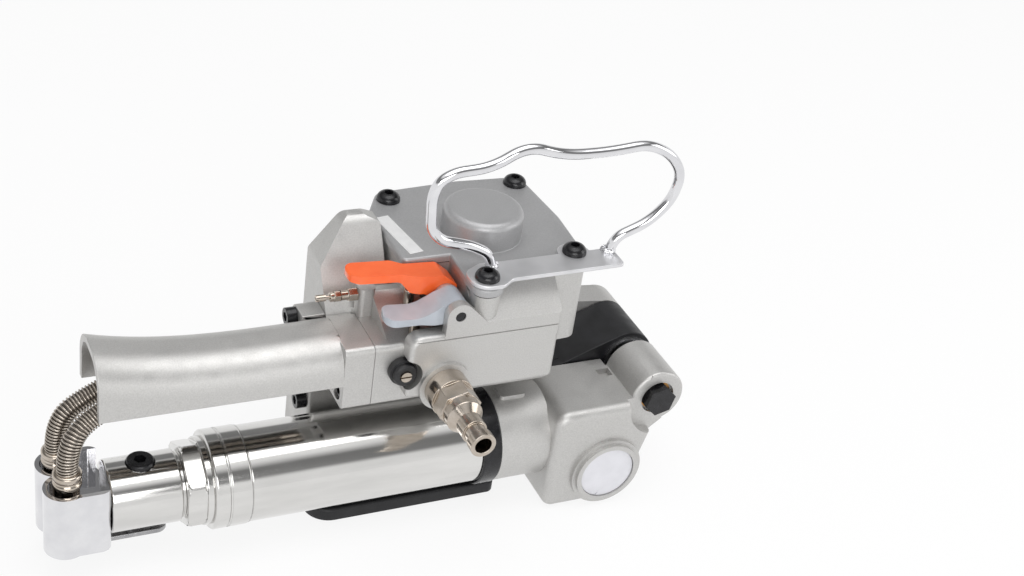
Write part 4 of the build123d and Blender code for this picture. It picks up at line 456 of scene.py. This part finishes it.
def smooth_line(points):
    """Points along a NURBS line whose control points are given in millimetres."""
    curve = bpy.data.curves.new("route", "CURVE")
    curve.dimensions = "3D"
    spline = curve.splines.new("NURBS")
    spline.points.add(len(points) - 1)
    for control, point in zip(spline.points, points):
        control.co = (*(Vector(point) * MM), 1)
    spline.order_u = ROUTE_ORDER
    spline.use_endpoint_u = True
    spline.resolution_u = ROUTE_STEPS // len(points)
    route = bpy.data.objects.new("route", curve)
    bpy.context.collection.objects.link(route)
    mesh = route.to_mesh()
    line = [vertex.co.copy() for vertex in mesh.vertices]
    route.to_mesh_clear()
    bpy.data.objects.remove(route)
    return line


def resampled(line, step):
    """The same line with points at equal distances of about step metres."""
    total = sum((b - a).length for a, b in zip(line, line[1:]))
    count = max(2, round(total / step))
    evened = [line[0].copy()]
    index = 0
    gone = 0.0
    for number in range(1, count):
        target = total * number / count
        while gone + (line[index + 1] - line[index]).length < target:
            gone += (line[index + 1] - line[index]).length
            index += 1
        share = (target - gone) / (line[index + 1] - line[index]).length
        evened.append(line[index].lerp(line[index + 1], share))
    evened.append(line[-1].copy())
    return evened


def frames_along(line):
    """(point, side, other side) at each point, without twist."""
    frames = []
    side = Vector((0, 1, 0))
    for index, point in enumerate(line):
        ahead = line[min(index + 1, len(line) - 1)] - line[max(index - 1, 0)]
        ahead.normalize()
        side = (side - ahead * side.dot(ahead)).normalized()
        frames.append((point, side, ahead.cross(side)))
    return frames


def join_rings(form, low, high):
    """Band of four-cornered faces between two rings with equally many corners."""
    for corner in range(len(low)):
        after = (corner + 1) % len(low)
        form.faces.new((low[corner], low[after], high[after], high[corner]))


def tube_mesh(name, frames, radii, sides):
    """Smooth tube with flat ends, with one radius in metres for each frame."""
    form = bmesh.new()
    rings = []
    for (point, side, other), radius in zip(frames, radii):
        ring = []
        for corner in range(sides):
            angle = math.tau * corner / sides
            ring.append(form.verts.new(point + (side * math.cos(angle) + other * math.sin(angle)) * radius))
        rings.append(ring)
    for low, high in zip(rings, rings[1:]):
        join_rings(form, low, high)
    for face in form.faces:
        face.smooth = True
    form.faces.new(rings[0][::-1])
    form.faces.new(rings[-1])
    return finished_mesh(name, form)


def even_tube(name, line, radius, sides):
    """Tube along a line, with the same radius in millimetres all along."""
    return tube_mesh(name, frames_along(line), [radius * MM] * len(line), sides)


def wound_hose(node, route):
    """Hose wound from round wire over a dark core, in place of the CAD node."""
    line = smooth_line(route)
    path = frames_along(resampled(line, WIRE_PITCH * MM / WIRE_STEPS))
    turns = []
    for index, (point, side, other) in enumerate(path):
        angle = math.tau * index / WIRE_STEPS
        outward = side * math.cos(angle) + other * math.sin(angle)
        turns.append(point + outward * (HOSE_RADIUS - WIRE_RADIUS) * MM)
    core = even_tube(node + "_core", resampled(line, CORE_STEP * MM), HOSE_CORE, CORE_SIDES)
    wire = even_tube(node + "_wire", turns, WIRE_RADIUS, WIRE_SIDES)
    for mesh, finish in ((core, FINISHES["hose_core"]), (wire, FINISHES["braided_hose"])):
        piece = link(mesh.name, mesh, finish)
        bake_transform(piece)
        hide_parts(node)


def crimp_collar(name, place):
    """Two pressed rings round a hose's ferrule, turned from the heights and radii of COLLAR."""
    frames = frames_along([Vector((*place, height)) * MM for height, _ in COLLAR])
    mesh = tube_mesh(name, frames, [radius * MM for _, radius in COLLAR], COLLAR_SIDES)
    set_on(link(name, mesh, finish_of("hose_ferrules")), "hose_ferrules")


def label_plate():
    """Pale plate along the cover's left edge, 0.2 mm thick, with a shallow groove round its rim."""
    start = Vector((*LABEL_REAR, COVER_TOP)) * MM
    end = Vector((*LABEL_FRONT, COVER_TOP)) * MM
    along = (end - start).normalized()
    across = Vector((-along.y, along.x, 0))
    half = LABEL_WIDTH * MM / 2
    form = bmesh.new()
    rings = []
    for height, inset in LABEL_STEPS:
        ring = []
        for place, inward, side in ((start, 1, -1), (end, -1, -1), (end, -1, 1), (start, 1, 1)):
            corner = place + along * inset * MM * inward + across * side * (half - inset * MM)
            ring.append(form.verts.new(corner + Vector((0, 0, height * MM))))
        rings.append(ring)
    for low, high in zip(rings, rings[1:]):
        join_rings(form, low, high)
    form.faces.new(rings[-1])
    form.faces.new(rings[0][::-1])
    bmesh.ops.recalc_face_normals(form, faces=form.faces)
    plate = link("label_plate", finished_mesh("label_plate", form), FINISHES["label"])
    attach(plate, "frame")


def weld_bead(name, centre, radius, height, shift):
    """Lumpy ring of weld around a foot of the wire loop."""
    foot = Vector(centre) * MM
    form = bmesh.new()
    rings = []
    for turn in range(WELD_STEPS):
        angle = math.tau * turn / WELD_STEPS
        lump = (1 + BIG_LUMP_SHARE * math.sin(BIG_LUMPS * angle + shift)
                + SMALL_LUMP_SHARE * math.sin(SMALL_LUMPS * angle + 2 * shift))
        outward = Vector((math.cos(angle), math.sin(angle), 0))
        ring = []
        for corner in range(WELD_SIDES):
            tilt = math.tau * corner / WELD_SIDES
            reach = radius + height * WELD_SPREAD * lump * math.cos(tilt)
            rise = height * lump * max(-WELD_SINK, math.sin(tilt))
            ring.append(form.verts.new(foot + outward * reach * MM + Vector((0, 0, rise * MM))))
        rings.append(ring)
    for ring, following in zip(rings, rings[1:] + rings[:1]):
        join_rings(form, ring, following)
    for face in form.faces:
        face.smooth = True
    bmesh.ops.recalc_face_normals(form, faces=form.faces)
    bead = link(name, finished_mesh(name, form), FINISHES["chrome"])
    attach(bead, "frame")


# ---- studio ----------------------------------------------------------------------------------------
def grey(level):
    return (level, level, level, 1)


def area_light(name, place, size, power):
    data = bpy.data.lights.new(name, "AREA")
    data.shape = "RECTANGLE"
    data.size = size[0]
    data.size_y = size[1]
    data.energy = power
    lamp = bpy.data.objects.new(name, data)
    bpy.context.collection.objects.link(lamp)
    lamp.location = place
    aim = Vector(LAMP_AIM) - Vector(place)
    lamp.rotation_euler = aim.to_track_quat("-Z", "Y").to_euler()


def sky():
    """World of a light tent: bright round the horizon and overhead, with a dim belt between."""
    world = bpy.data.worlds.new("studio")
    bpy.context.scene.world = world
    world.use_nodes = True
    nodes = world.node_tree.nodes
    links = world.node_tree.links
    ramp = nodes.new("ShaderNodeValToRGB")
    split = nodes.new("ShaderNodeSeparateXYZ")
    links.new(nodes.new("ShaderNodeTexCoord").outputs["Generated"], split.inputs["Vector"])
    links.new(split.outputs["Z"], ramp.inputs["Fac"])
    belt = ramp.color_ramp.elements
    for stop, (height, level) in zip(belt, (SKY_LEVELS[0], SKY_LEVELS[-1])):
        stop.position = height
        stop.color = grey(level)
    for height, level in SKY_LEVELS[1:-1]:
        belt.new(height).color = grey(level)
    links.new(ramp.outputs["Color"], nodes["Background"].inputs["Color"])
    nodes["Background"].inputs["Strength"].default_value = 1.0


def any_of(nodes, links, outputs):
    """Socket that is 1 where any of the outputs is 1."""
    seen = outputs[0]
    for output in outputs[1:]:
        either = nodes.new("ShaderNodeMath")
        either.operation = "MAXIMUM"
        links.new(seen, either.inputs[0])
        links.new(output, either.inputs[1])
        seen = either.outputs["Value"]
    return seen


def white_floor():
    """Pale floor that keeps the shadow; the camera, metal and glass see most of it as white."""
    bpy.ops.mesh.primitive_plane_add(size=FLOOR_SIZE, location=(0, 0, FLOOR_HEIGHT))
    floor = bpy.context.object
    floor.name = "floor"
    material = bpy.data.materials.new("floor")
    material.use_nodes = True
    nodes = material.node_tree.nodes
    links = material.node_tree.links
    shader = nodes["Principled BSDF"]
    shader.inputs["Base Color"].default_value = grey(FLOOR_GREY)
    shader.inputs["Roughness"].default_value = FLOOR_ROUGHNESS
    glow = nodes.new("ShaderNodeEmission")
    glow.inputs["Color"].default_value = grey(1)
    path = nodes.new("ShaderNodeLightPath").outputs
    seen = any_of(nodes, links, (path["Is Camera Ray"], path["Is Glossy Ray"], path["Is Transmission Ray"]))
    share = nodes.new("ShaderNodeMath")
    share.operation = "MULTIPLY"
    share.inputs[1].default_value = FLOOR_WHITE
    links.new(seen, share.inputs[0])
    both = nodes.new("ShaderNodeMixShader")
    links.new(share.outputs["Value"], both.inputs["Fac"])
    links.new(shader.outputs["BSDF"], both.inputs[1])
    links.new(glow.outputs["Emission"], both.inputs[2])
    links.new(both.outputs["Shader"], nodes["Material Output"].inputs["Surface"])
    floor.data.materials.append(material)


def studio():
    sky()
    white_floor()
    for name, (place, size, power) in LAMPS.items():
        area_light(name, place, size, power)
    bpy.context.scene.view_settings.view_transform = "Standard"


# ---- the scene -------------------------------------------------------------------------------------
FINISHES = {
    "black_steel": black_steel(), "tool_steel": tool_steel(), "black_screws": black_oxide(),
    "cast_aluminium": cast_aluminium(), "cover_grey": cover_paint(), "gasket": rubber(), "chrome": chrome(),
    "polished_steel": polished_steel(), "machine_steel": turned_steel(), "nickel_brass": nickel(),
    "bronze": bronze(), "braided_hose": hose_wire(), "orange_lever": orange_enamel(),
    "grey_lever": grey_enamel(), "white_disc": white_plastic(), "black_plastic": black_plastic(),
    "iron": iron(), "phenolic": phenolic(), "hose_core": hose_core(), "label": label(),
    "bright_plate": bright_plate(),
}
for node, slot_name in SLOTS.items():
    paint(NODES[node], FINISHES[slot_name])
for node, width in EDGES.items():
    soften(node, width, node in CLAMPED)
for node, route in HOSE_ROUTES.items():
    wound_hose(node, route)
    crimp_collar(node + "_collar", route[0][:2])
label_plate()
for name, (centre, radius, height, shift) in WELDS.items():
    weld_bead(name, centre, radius, height, shift)
camera()
studio()
